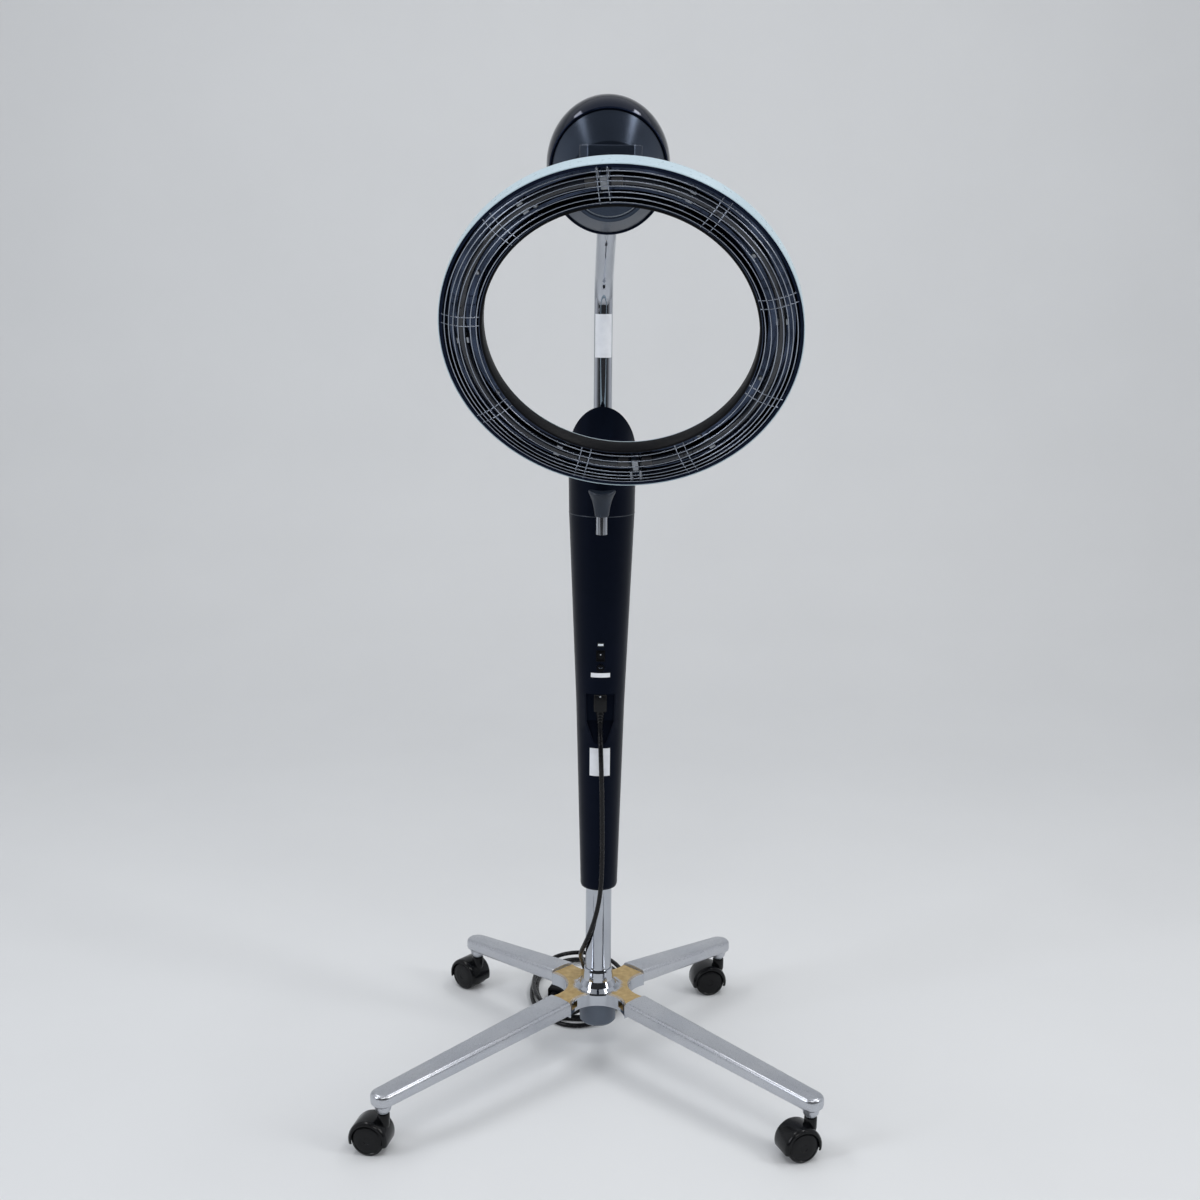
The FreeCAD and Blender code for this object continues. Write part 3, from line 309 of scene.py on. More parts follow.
# mains lead
lead = {"radius": 3.8, "coilCentre": (-33.0, 206.0), "coilHalf": (78.0, 128.0)}
hangingRoute = [
    (0.0, -33.0, 574.0), (0.1, -34.0, 562), (0.6, -38.5, 549.5), (1.4, -44.6, 533.5), (2.2, -47.2, 511),
    (3.2, -46.8, 481), (4.2, -44.6, 440), (4.8, -41.6, 394), (5.0, -39.0, 348), (4.0, -37.4, 305),
    (0.0, -35.5, 270), (-6.5, -31.5, 241), (-14.0, -25.5, 216), (-21.5, -16.5, 194), (-27.0, -2.0, 176),
    (-29.0, 16.0, 161), (-28.0, 34.0, 146), (-25.5, 53.5, 129), (-21.0, 68.5, 107), (-17.0, 77.0, 82),
    (-17.0, 79.5, 60), (-21.0, 79.5, 42), (-30.0, 80.0, 29), (-44.0, 81.5, 22), (-60.0, 86.5, 20.6)]
coilTurns = [  # bearing round the oval, share of its half widths, height: loose turns that fan out
    (38, 1.04, 20.5), (66, 1.06, 20.0), (94, 1.08, 19.6), (122, 1.07, 19.4), (150, 1.05, 19.2),
    (178, 1.02, 19.4), (206, 1.03, 19.8), (234, 1.07, 20.0), (262, 1.09, 19.4), (290, 1.06, 18.0),
    (318, 1.02, 16.0), (346, 0.98, 14.0), (374, 0.96, 12.4), (402, 0.97, 11.8), (430, 0.99, 11.6),
    (458, 1.01, 11.6), (486, 0.98, 11.6), (514, 0.94, 11.6), (542, 0.92, 11.6), (570, 0.95, 11.7),
    (598, 1.00, 11.8), (626, 1.02, 11.4), (654, 1.03, 10.0), (682, 1.06, 7.6), (710, 1.09, 5.4),
    (738, 1.10, 4.3), (766, 1.10, 4.0), (794, 1.12, 3.9), (822, 1.12, 3.9), (850, 1.08, 3.9),
    (878, 1.05, 3.9), (906, 1.05, 3.9), (934, 1.08, 3.9), (962, 1.10, 3.9), (990, 1.08, 3.9),
    (1018, 1.02, 3.9), (1044, 0.95, 3.9), (1068, 0.88, 3.9), (1092, 0.85, 3.9)]
coilRoute = [(lead["coilCentre"][0] - lead["coilHalf"][0] * share * sine(bearing),
              lead["coilCentre"][1] - lead["coilHalf"][1] * share * cosine(bearing), height)
             for bearing, share, height in coilTurns]
leadEnd = [(-59.2, 99.2, 3.9), (-72.5, 102.2, 4.0), (-83.3, 110.5, 5.0), (-89.6, 122.5, 7.2),
           (-90.4, 135.1, 9.4), (-87.6, 144.5, 10.8), (-86.2, 149.0, 11.0)]
leadRoute = hangingRoute + coilRoute + leadEnd
leadCurve = bpy.data.curves.new("mainsLead", "CURVE")
leadCurve.dimensions = "3D"
leadCurve.bevel_depth = lead["radius"] / 1000
leadCurve.bevel_resolution = 6
leadCurve.resolution_u = 10
leadCurve.use_fill_caps = True
spline = leadCurve.splines.new("NURBS")
spline.points.add(len(leadRoute) - 1)
for point, spot in zip(spline.points, leadRoute):
    point.co = (spot[0] / 1000, spot[1] / 1000, spot[2] / 1000, 1)
spline.order_u = 3
spline.use_endpoint_u = True
mainsLead = bpy.data.objects.new("mainsLead", leadCurve)
bpy.context.scene.collection.objects.link(mainsLead)
leadCurve.materials.append(cordPvc)
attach(mainsLead, "stand")
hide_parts("power_cord", "cord_coil")
print("mains lead laid")

# head: hood, drum, nose
yaw = turned(1.5)  # the arm stands turned a little about the column
hood = {"centre": (0, -185.0, 1419.0), "halfWidth": 85.0, "halfHeight": 94.0, "opening": 26.0, "nod": 20.0,
        "underside": 1390.0, "slot": {"x": 17.0, "low": -170.0, "high": -100.0, "near": 30.0},
        # the rim's steps: share of the opening's size, and how far each one goes forward
        "rim": [(0.995, 1.6), (0.984, 1.0), (0.970, 0.2), (0.958, -0.8), (0.951, -2.0), (0.948, -14.0)]}
headAxis = Vector((0, -cosine(hood["nod"]), -sine(hood["nod"])))
openingPlace = axesAt(xAxis, headAxis.cross(xAxis), Vector(hood["centre"]))


def makeHood():
    bm = bmesh.new()
    made = bmesh.ops.create_uvsphere(bm, u_segments=128, v_segments=80, radius=1.0)
    bmesh.ops.scale(bm, vec=(hood["halfWidth"], hood["halfWidth"], hood["halfHeight"]), verts=made["verts"])
    bmesh.ops.translate(bm, vec=hood["centre"], verts=made["verts"])
    bm.transform(openingPlace.inverted())  # its opening now faces own +Z
    bmesh.ops.bisect_plane(bm, geom=everythingIn(bm), plane_co=(0, 0, hood["opening"] - 3.0),
                           plane_no=(0, 0, 1), clear_outer=True)
    before = 1.0
    for inward, forward in hood["rim"]:
        rim = [e for e in bm.edges if e.is_boundary]
        ring = newVerts(bmesh.ops.extrude_edge_only(bm, edges=rim)["geom"])
        bmesh.ops.translate(bm, vec=(0, 0, forward), verts=ring)
        bmesh.ops.scale(bm, vec=(inward / before, inward / before, 1), verts=ring)
        before = inward
    bmesh.ops.recalc_face_normals(bm, faces=bm.faces[:])
    bm.transform(openingPlace)
    slot = hood["slot"]  # the bent tube passes here

    def under(face, half):
        middle = face.calc_center_median()
        return middle.z < hood["underside"] and abs(middle.x) < half

    for spot, way in (((slot["x"], 0, 0), (1, 0, 0)), ((-slot["x"], 0, 0), (-1, 0, 0)),
                      ((0, slot["low"], 0), (0, -1, 0)), ((0, slot["high"], 0), (0, 1, 0))):
        low = [f for f in bm.faces if under(f, slot["near"])]
        around = list({v for f in low for v in f.verts}) + list({e for f in low for e in f.edges}) + low
        bmesh.ops.bisect_plane(bm, geom=around, plane_co=spot, plane_no=way)
    inside = [f for f in bm.faces if under(f, slot["x"])
              and slot["low"] < f.calc_center_median().y < slot["high"]]
    bmesh.ops.delete(bm, geom=inside, context="FACES")
    return bm


hoodPiece = newPiece("hoodShell", makeHood(), yaw, "head", glossBlack,
                     ["head_hood"], 40, False)
wall = hoodPiece.modifiers.new("wall", "SOLIDIFY")
wall.thickness = 0.0022
wall.offset = -1

drum = {"wide": 77.5, "tall": 85.1, "rise": -1.8, "back": 14.0, "opening": 26.0, "front": 66.0, "face": 55.0,
        "screwAt": (1.0, -30.0)}


def makeDrum():
    bm = bmesh.new()
    made = bmesh.ops.create_circle(bm, cap_ends=False, segments=128, radius=1.0)
    bmesh.ops.scale(bm, vec=(drum["wide"], drum["tall"], 1), verts=made["verts"])
    bmesh.ops.translate(bm, vec=(0, drum["rise"], drum["back"]), verts=made["verts"])
    wide, tall, level = drum["wide"], drum["tall"], drum["back"]
    face, front = drum["face"], drum["front"]
    steps = [(drum["wide"], drum["tall"], drum["opening"]), (face + 1.6, face + 1.9, front - 2.0),
             (face + 0.7, face + 0.8, front - 0.7), (face - 0.8, face - 0.8, front),
             (face - 4.0, face - 4.0, front), (face - 4.6, face - 4.6, front - 1.2),
             (face - 6.2, face - 6.2, front - 1.2), (face - 6.8, face - 6.8, front - 0.3)]
    rim = bm.edges[:]
    for newWide, newTall, newLevel in steps:
        grown = bmesh.ops.extrude_edge_only(bm, edges=rim)["geom"]
        ring = newVerts(grown)
        rim = [e for e in newEdges(grown) if all(v in ring for v in e.verts)]
        bmesh.ops.translate(bm, vec=(0, -drum["rise"], newLevel - level), verts=ring)
        bmesh.ops.scale(bm, vec=(newWide / wide, newTall / tall, 1), verts=ring)
        bmesh.ops.translate(bm, vec=(0, drum["rise"], 0), verts=ring)
        wide, tall, level = newWide, newTall, newLevel
    bmesh.ops.contextual_create(bm, geom=rim)
    return bm


newPiece("headDrum", makeDrum(), yaw @ openingPlace, "head", graphite,
         ["front_cover"], 24)

turn = {"dip": 50.0, "centre": (0, -285.0, 1385.0)}  # the axis that the ring's arm turns about
turnAxis = Vector((0, -cosine(turn["dip"]), -sine(turn["dip"])))
turnPlace = axesAt(xAxis, turnAxis.cross(xAxis), Vector(turn["centre"]))
nose = {"half": 41.0, "top": 1440.0, "bottom": 1372.0, "ahead": -312.0, "back": -222.0, "chamfer": 11.0}


def makeNose():
    bm = bmesh.new()
    blockIn(bm, (-nose["half"], nose["ahead"], nose["bottom"]), (nose["half"], nose["back"], nose["top"]))
    upright = [e for e in bm.edges if abs(e.verts[0].co.z - e.verts[1].co.z) > 1
               and e.verts[0].co.y < nose["ahead"] + 1]
    bevelEdges(bm, upright, nose["chamfer"], 1)
    cut = bmesh.ops.bisect_plane(bm, geom=everythingIn(bm), plane_co=turn["centre"], plane_no=turnAxis,
                                 clear_outer=True)
    bmesh.ops.contextual_create(bm, geom=newEdges(cut["geom_cut"]))
    bevelSharp(bm, 1.6, 3, 20)
    return bm


newPiece("headNose", makeNose(), yaw, "head", graphite, (), 24)
# a small dark domed disc on the drum's face, below its centre, where a dark spot shows
screw = bmesh.new()
lathe(screw, [(0, 0.6), (1.6, 0.6), (2.9, 1.6), (4.4, 1.9), (4.4, 0)], 32)
newPiece("faceDarkDisc", screw, yaw @ openingPlace @ shifted(*drum["screwAt"], drum["front"] - 0.6), "head",
         mattBlack)
edging = bmesh.new()
lathe(edging, [(49.0, -1.0), (50.4, -1.0), (50.4, -0.2), (49.7, 0.1), (49.0, -0.2)], 96, closed=True)
newPiece("faceEdging", edging, yaw @ openingPlace @ shifted(0, 0, drum["front"] - 0.2), "head", zincSteel)
flange = bmesh.new()
lathe(flange, [(24.5, -1.2), (26.6, -0.9), (26.9, 0.1), (25.2, 0.3), (24.5, 0.1)], 64, closed=True)
newPiece("turnFlange", flange, yaw @ turnPlace, "head", mattBlack)
print("head made")

# heater ring
ring = {"outer": 241.0, "bore": 182.5, "depth": 29.0, "corner": 7.0, "pitch": 26.9, "skew": -4.2, "roll": 4.5,
        "centre": (21.9, -340.0, 1196.7), "steps": 192}
ringAxis = Vector((sine(ring["skew"]) * cosine(ring["pitch"]), -cosine(ring["skew"]) * cosine(ring["pitch"]),
                   -sine(ring["pitch"])))
ringSide = zAxis.cross(ringAxis).normalized()
ringPlace = axesAt(ringSide, ringAxis.cross(ringSide), Vector(ring["centre"])) @ turned(ring["roll"])


def roundedCorner(centreR, centreH, radius, start, end, count=6):
    return [(centreR + radius * cosine(start + (end - start) * i / count),
             centreH + radius * sine(start + (end - start) * i / count)) for i in range(count + 1)]


def makeRingBand(profile):
    bm = bmesh.new()
    lathe(bm, profile, ring["steps"], closed=True)
    return bm


outer, bore, depth, corner = ring["outer"], ring["bore"], ring["depth"], ring["corner"]
shellOutline = ([(outer - 1.3, -3.4), (outer - 1.3, -0.4), (outer - 0.8, 0.0), (outer, -0.5)]
                + roundedCorner(outer - corner, -depth + corner, corner, 0, -90)
                + roundedCorner(bore + corner, -depth + corner, corner, -90, -180)[:4]
                + [(bore + 4.0, -depth + 4.4), (bore + corner, -depth + 1.6), (outer - corner, -depth + 1.6),
                   (outer - 1.8, -depth + corner)])
newPiece("ringShell", makeRingBand(shellOutline), ringPlace, "ring", whiteEnamel,
         ["ring_shell"], 30)
innerOutline = [(bore + 2.2, -depth + 3.4), (bore + 0.9, -depth + 5.0), (bore, -depth + corner),
                (bore, -1.2), (bore + 0.5, -0.3), (bore + 1.4, 0.0), (bore + 3.4, -0.4), (bore + 3.4, -3.0),
                (bore + 2.2, -3.6)]
newPiece("ringInnerWall", makeRingBand(innerOutline), ringPlace, "ring", mattBlack,
         (), 30)
rimOutline = [(outer - 1.4, -3.4), (outer - 1.4, -0.9), (outer - 2.0, -0.5), (outer - 5.4, -0.6),
              (outer - 6.2, -1.4), (outer - 6.2, -3.4)]
newPiece("ringFrontRim", makeRingBand(rimOutline), ringPlace, "ring", glossBlack,
         (), 30)
troughOutline = ([(outer - 4.4, -1.4)] + roundedCorner(outer - 16.0, -14.6, 11.6, 0, -72, 8)
                 + [(outer - 17.5, -25.2), (outer - 22.0, -24.2), (212.0, -23.6), (bore + 22.0, -24.2),
                    (bore + 17.5, -25.2)]
                 + roundedCorner(bore + 16.0, -14.6, 11.6, -108, -180, 8) + [(bore + 4.4, -1.4)]
                 + [(bore + 3.2, -1.4), (bore + 3.2, -16.0), (bore + 12.0, -26.0), (outer - 12.0, -26.0),
                    (outer - 3.2, -16.0), (outer - 3.2, -1.4)])
newPiece("ringReflector", makeRingBand(troughOutline), ringPlace, "ring", darkMirror,
         ["ring_reflector"], 34)

guard = {"rings": (232.0, 226.0, 220.0, 213.5, 205.5, 197.5, 190.0), "wire": 0.85, "crown": 4.2, "foot": -1.6,
         "inner": 186.5, "outer": 237.0, "pairs": 9, "spacing": 13.0, "bite": 0.15}
guardHalf = (guard["outer"] - guard["inner"]) / 2
guardRise = guard["crown"] - guard["foot"]
guardArc = (guardHalf ** 2 + guardRise ** 2) / (2 * guardRise)
guardMiddle = (guard["outer"] + guard["inner"]) / 2


def guardLevel(radius):
    return guard["crown"] - guardArc + math.sqrt(guardArc ** 2 - (radius - guardMiddle) ** 2)


def makeGuardRings():
    bm = bmesh.new()
    for radius in guard["rings"]:
        wire = bmesh.new()
        height = guardLevel(radius) + 2 * guard["wire"] - guard["bite"]
        lathe(wire, roundedCorner(radius, height, guard["wire"], 0, 324, 9), 160, closed=True)
        joinInto(bm, wire)
    return bm


def makeGuardBars():
    bm = bmesh.new()
    sweep = math.degrees(math.asin(guardHalf / guardArc))
    for pair in range(guard["pairs"]):
        for side in (-0.5, 0.5):
            bar = bmesh.new()
            made = bmesh.ops.create_circle(bar, cap_ends=True, segments=10, radius=guard["wire"])
            bmesh.ops.rotate(bar, cent=(0, 0, 0), matrix=turned(90, "Y"), verts=made["verts"])
            bmesh.ops.translate(bar, vec=(0, 0, guardArc), verts=made["verts"])
            bmesh.ops.rotate(bar, cent=(0, 0, 0), matrix=turned(-sweep, "Y"), verts=made["verts"])
            bmesh.ops.spin(bar, geom=everythingIn(bar), cent=(0, 0, 0), axis=(0, 1, 0),
                           angle=math.radians(2 * sweep), steps=14, use_merge=False, use_duplicate=False)
            bmesh.ops.translate(bar, vec=(guardMiddle, side * guard["spacing"], guard["crown"] - guardArc),
                                verts=bar.verts[:])
            joinInto(bm, bar, turned(90 + pair * 360 / guard["pairs"]))
    return bm


newPiece("guardRings", makeGuardRings(), ringPlace, "ring", guardWire, ["guard_rings"], 60)
newPiece("guardBars", makeGuardBars(), ringPlace, "ring", guardWire, ["guard_bars"], 60)

heater = {"radius": 211.75, "tube": 6.0, "level": -14.0, "gap": 1.8, "cap": 7.4, "capTurn": 4.5,
          "screws": (27, 63, 117, 153, 207, 243, 297, 333)}


def makeHeaterTubes():
    bm = bmesh.new()
    for side in (0, 180):
        tube = bmesh.new()
        made = bmesh.ops.create_circle(tube, cap_ends=True, segments=20, radius=heater["tube"])
        bmesh.ops.rotate(tube, cent=(0, 0, 0), matrix=turned(90, "X"), verts=made["verts"])
        bmesh.ops.translate(tube, vec=(heater["radius"], 0, heater["level"]), verts=made["verts"])
        bmesh.ops.spin(tube, geom=everythingIn(tube), cent=(0, 0, 0), axis=(0, 0, 1),
                       angle=math.radians(180 - 2 * heater["gap"]), steps=80, use_merge=False,
                       use_duplicate=False)
        joinInto(bm, tube, turned(side - 90 + heater["gap"]))
    return bm


def makeTubeCaps():
    bm = bmesh.new()
    for degrees in [end + side * heater["capTurn"] for end in (90, 270) for side in (-1, 1)]:
        cap = bmesh.new()
        lathe(cap, [(0, -7), (heater["cap"], -7), (heater["cap"], 7), (0, 7)], 28)
        bevelSharp(cap, 1.0, 2)
        joinInto(bm, cap, turned(degrees) @ shifted(heater["radius"], 0, heater["level"]) @ turned(90, "X"))
    return bm


def makeEndBrackets():
    bm = bmesh.new()
    for degrees in (90, 270):
        strap = bmesh.new()
        blockIn(strap, (heater["radius"] - 9, -4.5, -24), (heater["radius"] + 9, 4.5, -6.2))
        bevelSharp(strap, 1.2, 2)
        joinInto(bm, strap, turned(degrees))
        for side in (-6.6, 6.6):
            ear = bmesh.new()
            blockIn(ear, (heater["radius"] + 8, side - 1.6, -14), (outer - 5.2, side + 1.6, -3.2))
            bevelSharp(ear, 0.6, 2)
            joinInto(bm, ear, turned(degrees))
    return bm


def makeTroughScrews():
    bm = bmesh.new()
    for degrees in heater["screws"]:
        head = bmesh.new()
        lathe(head, [(0, 1.9), (2.4, 1.6), (3.6, 0.6), (3.8, 0), (3.8, -1)], 20)
        joinInto(bm, head, turned(degrees) @ shifted(bore + 19.0, 0, -24.4))
    return bm


newPiece("heaterTubes", makeHeaterTubes(), ringPlace, "ring", quartz, ["heater_tubes"], 40)
newPiece("heaterEndCaps", makeTubeCaps(), ringPlace, "ring", ceramic, (), 30)
newPiece("heaterEndBrackets", makeEndBrackets(), ringPlace, "ring", zincSteel, (), 30)
newPiece("troughScrews", makeTroughScrews(), ringPlace, "ring", zincSteel, (), 30)
print("ring made")

# bent arm tube
arm = {"radius": 14.0, "foot": 562.0, "bendStart": 1218.0, "bendRadius": 60.0, "bend": 60.0, "lean": 100.0,
       "rise": 14.0}


def makeArmTube():
    bm = bmesh.new()
    made = bmesh.ops.create_circle(bm, cap_ends=False, segments=56, radius=arm["radius"])
    bmesh.ops.translate(bm, vec=(0, 0, arm["foot"]), verts=made["verts"])

    def run(edges, vec):
        ends = newVerts(bmesh.ops.extrude_edge_only(bm, edges=edges)["geom"])
        bmesh.ops.translate(bm, vec=vec, verts=ends)
        return [e for e in bm.edges if all(v in ends for v in e.verts)]

    def bendEnd(edges, centre, degrees):
        rim = list({v for e in edges for v in e.verts})
        made = bmesh.ops.spin(bm, geom=rim + edges, cent=centre, axis=(1, 0, 0), angle=math.radians(degrees),
                              steps=18, use_merge=False, use_duplicate=False)
        return newEdges(made["geom_last"])

    radius, bend = arm["bendRadius"], arm["bend"]
    edges = run(bm.edges[:], (0, 0, 40))
    edges = run(edges, (0, 0, arm["bendStart"] - arm["foot"] - 40))
    edges = bendEnd(edges, (0, -radius, arm["bendStart"]), bend)
    edges = run(edges, Vector((0, -sine(bend), cosine(bend))) * arm["lean"])
    bendTop = Vector((0, -radius * (1 - cosine(bend)), arm["bendStart"] + radius * sine(bend)))
    upperEnd = bendTop + Vector((0, -sine(bend), cosine(bend))) * arm["lean"]
    upperEnd += Vector((0, -radius * (1 - cosine(bend)), radius * sine(bend)))
    edges = bendEnd(edges, upperEnd + Vector((0, radius, 0)), -bend)
    run(edges, (0, 0, arm["rise"]))
    bmesh.ops.remove_doubles(bm, verts=bm.verts[:], dist=0.0005)
    return bm


newPiece("armTube", makeArmTube(), yaw, "arm", chrome, ["arm_tube"], 40)
print("arm tube made")

# legs and casters
leg = {"root": 86.0, "rootHalf": 24.0, "tipHalf": 18.0, "rootTop": 119.5, "tipTop": 96.0, "rootDeep": 24.5,
       "tipDeep": 21.0, "crown": 1.6, "underRound": 7.5, "topRound": 6.0, "rootRound": 2.2}
# each leg's reach and bearing, and its caster's heading
legs = {"front_right": (450.0, -45.7, 200.0), "front_left": (450.0, -134.3, 168.0),
        "rear_left": (308.0, 134.3, 140.0), "rear_right": (308.0, 45.7, 190.0)}


def makeLeg(reach):
    bm = bmesh.new()
    tip = reach + leg["tipHalf"]
    blockIn(bm, (leg["root"], -1, 0), (tip, 1, 1))
    bmesh.ops.bisect_plane(bm, geom=everythingIn(bm), plane_co=(0, 0, 0.5), plane_no=(0, 1, 0))
    for v in bm.verts:
        share = (v.co.x - leg["root"]) / (tip - leg["root"])
        half = leg["rootHalf"] + share * (leg["tipHalf"] - leg["rootHalf"])
        top = leg["rootTop"] + share * (leg["tipTop"] - leg["rootTop"])
        deep = leg["rootDeep"] + share * (leg["tipDeep"] - leg["rootDeep"])
        crown = leg["crown"] if abs(v.co.y) < 0.1 and v.co.z > 0.5 else 0
        v.co = Vector((v.co.x, v.co.y * half, top + crown if v.co.z > 0.5 else top - deep))
    corners = [e for e in bm.edges if e.verts[0].co.x > tip - 1 and e.verts[1].co.x > tip - 1
               and abs(e.verts[0].co.y - e.verts[1].co.y) < 1 and abs(e.verts[0].co.y) > 5]
    bevelEdges(bm, corners, leg["tipHalf"] - 1.5, 9)
    for way, width, segments in ((-1, leg["underRound"], 3), (1, leg["topRound"], 5)):
        along = [e for e in foldedEdges(bm, 0.9) if sum(v.co.x for v in e.verts) / 2 > leg["root"] + 1
                 and any(f.normal.z * way > 0.9 for f in e.link_faces)]
        bevelEdges(bm, along, width, segments)
    root = [e for e in foldedEdges(bm, 0.6)
            if all(v.co.x < leg["root"] + 0.5 and v.co.z > 115 for v in e.verts)]
    bevelEdges(bm, root, leg["rootRound"], 3)
    boss = bmesh.new()
    lathe(boss, [(5.5, 67.0), (10.7, 67.0), (11.5, 67.8), (13.5, 78.0), (5.5, 78.0)], 40, closed=True)
    joinInto(bm, boss, shifted(reach, 0, 0))
    return bm


caster = {"trail": 19.0, "axle": 25.0, "hood": 28.5, "wheel": 25.0, "wide": 17.0, "gap": 4.0}


def makeCasterHood():
    bm = bmesh.new()
    shell = bmesh.new()
    crown, half = caster["hood"], caster["gap"] + caster["wide"]
    profile = [(crown - 4.8, -half - 0.2), (crown - 2.2, -half + 0.6), (crown - 0.6, -half + 2.4),
               (crown, -half + 5.0), (crown, half - 5.0), (crown - 0.6, half - 2.4),
               (crown - 2.2, half - 0.6), (crown - 4.8, half + 0.2)]
    lathe(shell, profile, 44, 212)
    bmesh.ops.solidify(shell, geom=shell.faces[:], thickness=1.6)
    bmesh.ops.recalc_face_normals(shell, faces=shell.faces[:])
    bevelSharp(shell, 0.4, 2, 50)
    joinInto(bm, shell, shifted(caster["trail"], 0, caster["axle"]) @ turned(90, "X") @ turned(-16))
    web = bmesh.new()
    lathe(web, [(0, -3.4), (26.0, -3.4), (27.4, -2.6), (27.4, 2.6), (26.0, 3.4), (0, 3.4)], 40, 208)
    joinInto(bm, web, shifted(caster["trail"], 0, caster["axle"]) @ turned(90, "X") @ turned(-14))
    neck = bmesh.new()
    lathe(neck, [(5.6, 41.0), (8.6, 41.0), (9.6, 45.0), (9.6, 61.5), (8.6, 63.6), (5.6, 63.6)], 36,
          closed=True)
    joinInto(bm, neck)
    return bm


def makeCasterWheels():
    bm = bmesh.new()
    edge = caster["wheel"]
    for side in (-1, 1):
        wheel = bmesh.new()
        profile = [(5.2, 0.0), (edge - 3.4, 0.0), (edge - 1.2, 0.8), (edge - 0.1, 2.8), (edge, 5.0),
                   (edge, 12.4), (edge - 0.5, 14.4), (edge - 2.2, 16.0), (edge - 4.4, 16.8),
                   (edge - 5.2, 16.2), (edge - 6.0, 16.3), (edge - 7.5, 16.9), (12.0, 17.0), (5.5, 16.8),
                   (4.9, 16.2), (0, 16.2)]
        lathe(wheel, profile, 56)
        axle = shifted(caster["trail"], 0, caster["axle"])
        joinInto(bm, wheel, axle @ turned(-90 * side, "X") @ shifted(0, 0, caster["gap"]))
    return bm


for name, (reach, angle, heading) in legs.items():
    word = name.title().replace("_", "")
    newPiece("leg" + word, makeLeg(reach), turned(angle), "stand", castAluminium,
             ["leg_" + name], 26)
    stemAt = turned(angle) @ shifted(reach, 0, 0)
    casterAt = shifted(*stemAt.translation) @ turned(heading)
    newPiece("casterHood" + word, makeCasterHood(), casterAt, "caster_" + name, nylonBlack,
             ["caster_hood_" + name], 30)
    newPiece("casterWheels" + word, makeCasterWheels(), casterAt, "wheels_" + name, nylonBlack,
             ["caster_wheels_" + name], 30)
print("legs and casters made")

# clamp knob and lever
knob = {"ahead": -74.3, "foot": 911.0, "dip": 2.0, "dipFrom": 20.0}
knobMesh = bmesh.new()
lathe(knobMesh, [(0, 0), (9.4, 0), (10.4, 0.8), (10.9, 3), (11.6, 8), (13.0, 16), (15.0, 24), (17.6, 31),
                 (19.8, 35.6), (20.5, 37.6), (20.5, 39.0), (19.9, 40.1), (18.6, 40.4), (17.2, 40.0),
                 (12.0, 38.6), (6, 37.9), (0, 37.7)], 72)
for v in knobMesh.verts:  # the rim dips at the front and back
    away = math.hypot(v.co.x, v.co.y)
    if v.co.z > knob["dipFrom"] and away > 4:
        lobe = (v.co.x ** 2 - v.co.y ** 2) / away ** 2 - 0.9
        v.co.z += knob["dip"] * (v.co.z - knob["dipFrom"]) / knob["dipFrom"] * lobe * min(1, away / 14)
newPiece("clampKnob", knobMesh, shifted(0, knob["ahead"], knob["foot"]), "clamp", slateNylon,
         ["clamp_knob"], 50)

# column seam: a bead in lighter slate grey than the column, a painted highlight along the joint
seamHighlightMesh = bmesh.new()
lathe(seamHighlightMesh, [(50.6, 904.9), (51.1, 905.3), (51.25, 905.9), (51.1, 906.4), (50.6, 906.8)], 96, closed=True)
newPiece("columnSeamPaintedHighlight", seamHighlightMesh, Matrix(), "stand", slateNylon, (), 30)

# mains connectors: the one below the column, and the wall plug
plug = {"centreY": -33.0, "low": 594.0, "high": 623.0, "reliefEnd": 574.0, "relief": 20.0, "halfWidth": 10.0,
        "halfDepth": 7.5, "grips": (600, 604, 608, 612), "gripHalf": 4.5}


def makeRelief(length, thin, thick, ribs):
    profile = [(0, 0), (thin, 0)]
    for i in range(ribs):
        base = i / ribs * length
        radius = thin + (thick - thin) * (i + 0.5) / ribs
        profile += [(radius, base + 0.4), (radius + 0.5, base + 0.8),
                    (radius + 0.5, base + length / ribs * 0.6), (radius, base + length / ribs * 0.8)]
    bm = bmesh.new()
    lathe(bm, profile + [(thick, length), (0, length)], 32)
    return bm


def makePlug():
    bm = bmesh.new()
    middle, half, deep = plug["centreY"], plug["halfWidth"], plug["halfDepth"]
    blockIn(bm, (-half, middle - deep, plug["low"]), (half, middle + deep, plug["high"] - 0.2))
    bevelSharp(bm, 2.2, 4)
    for side in (-half, half):
        for level in plug["grips"]:
            grip = bmesh.new()
            blockIn(grip, (side - 0.5, middle - plug["gripHalf"], level),
                    (side + 0.5, middle + plug["gripHalf"], level + 1.6))
            bevelSharp(grip, 0.4, 2)
            joinInto(bm, grip)
    joinInto(bm, makeRelief(plug["relief"], 4.3, 6.4, 4), shifted(0, middle, plug["reliefEnd"]))
    return bm


connector = newPiece("mainsConnector", makePlug(), Matrix(), "stand", nylonBlack,
                     ["cord_plug"], 30)

wallPlug = {"back": (-77.0, 174.0, 0.0), "turn": -17.5, "tail": 36.0, "half": 13.0, "long": 38.0,
            "high": 22.0, "bladeAt": 6.3}


def makeWallPlug():
    bm = bmesh.new()
    half, tail, high = wallPlug["half"], wallPlug["tail"], wallPlug["high"]
    blockIn(bm, (-half, 0, 0.2), (half, wallPlug["long"], high))
    bevelSharp(bm, 4.0, 5)
    rim = bmesh.new()
    blockIn(rim, (-half - 1, wallPlug["long"] - 4.5, 0), (half + 1, wallPlug["long"] - 0.6, high))
    bevelSharp(rim, 1.4, 3)
    joinInto(bm, rim)
    joinInto(bm, makeRelief(tail, 4.2, 6.4, 6), shifted(0, -tail, high / 2) @ turned(-90, "X"))
    return bm


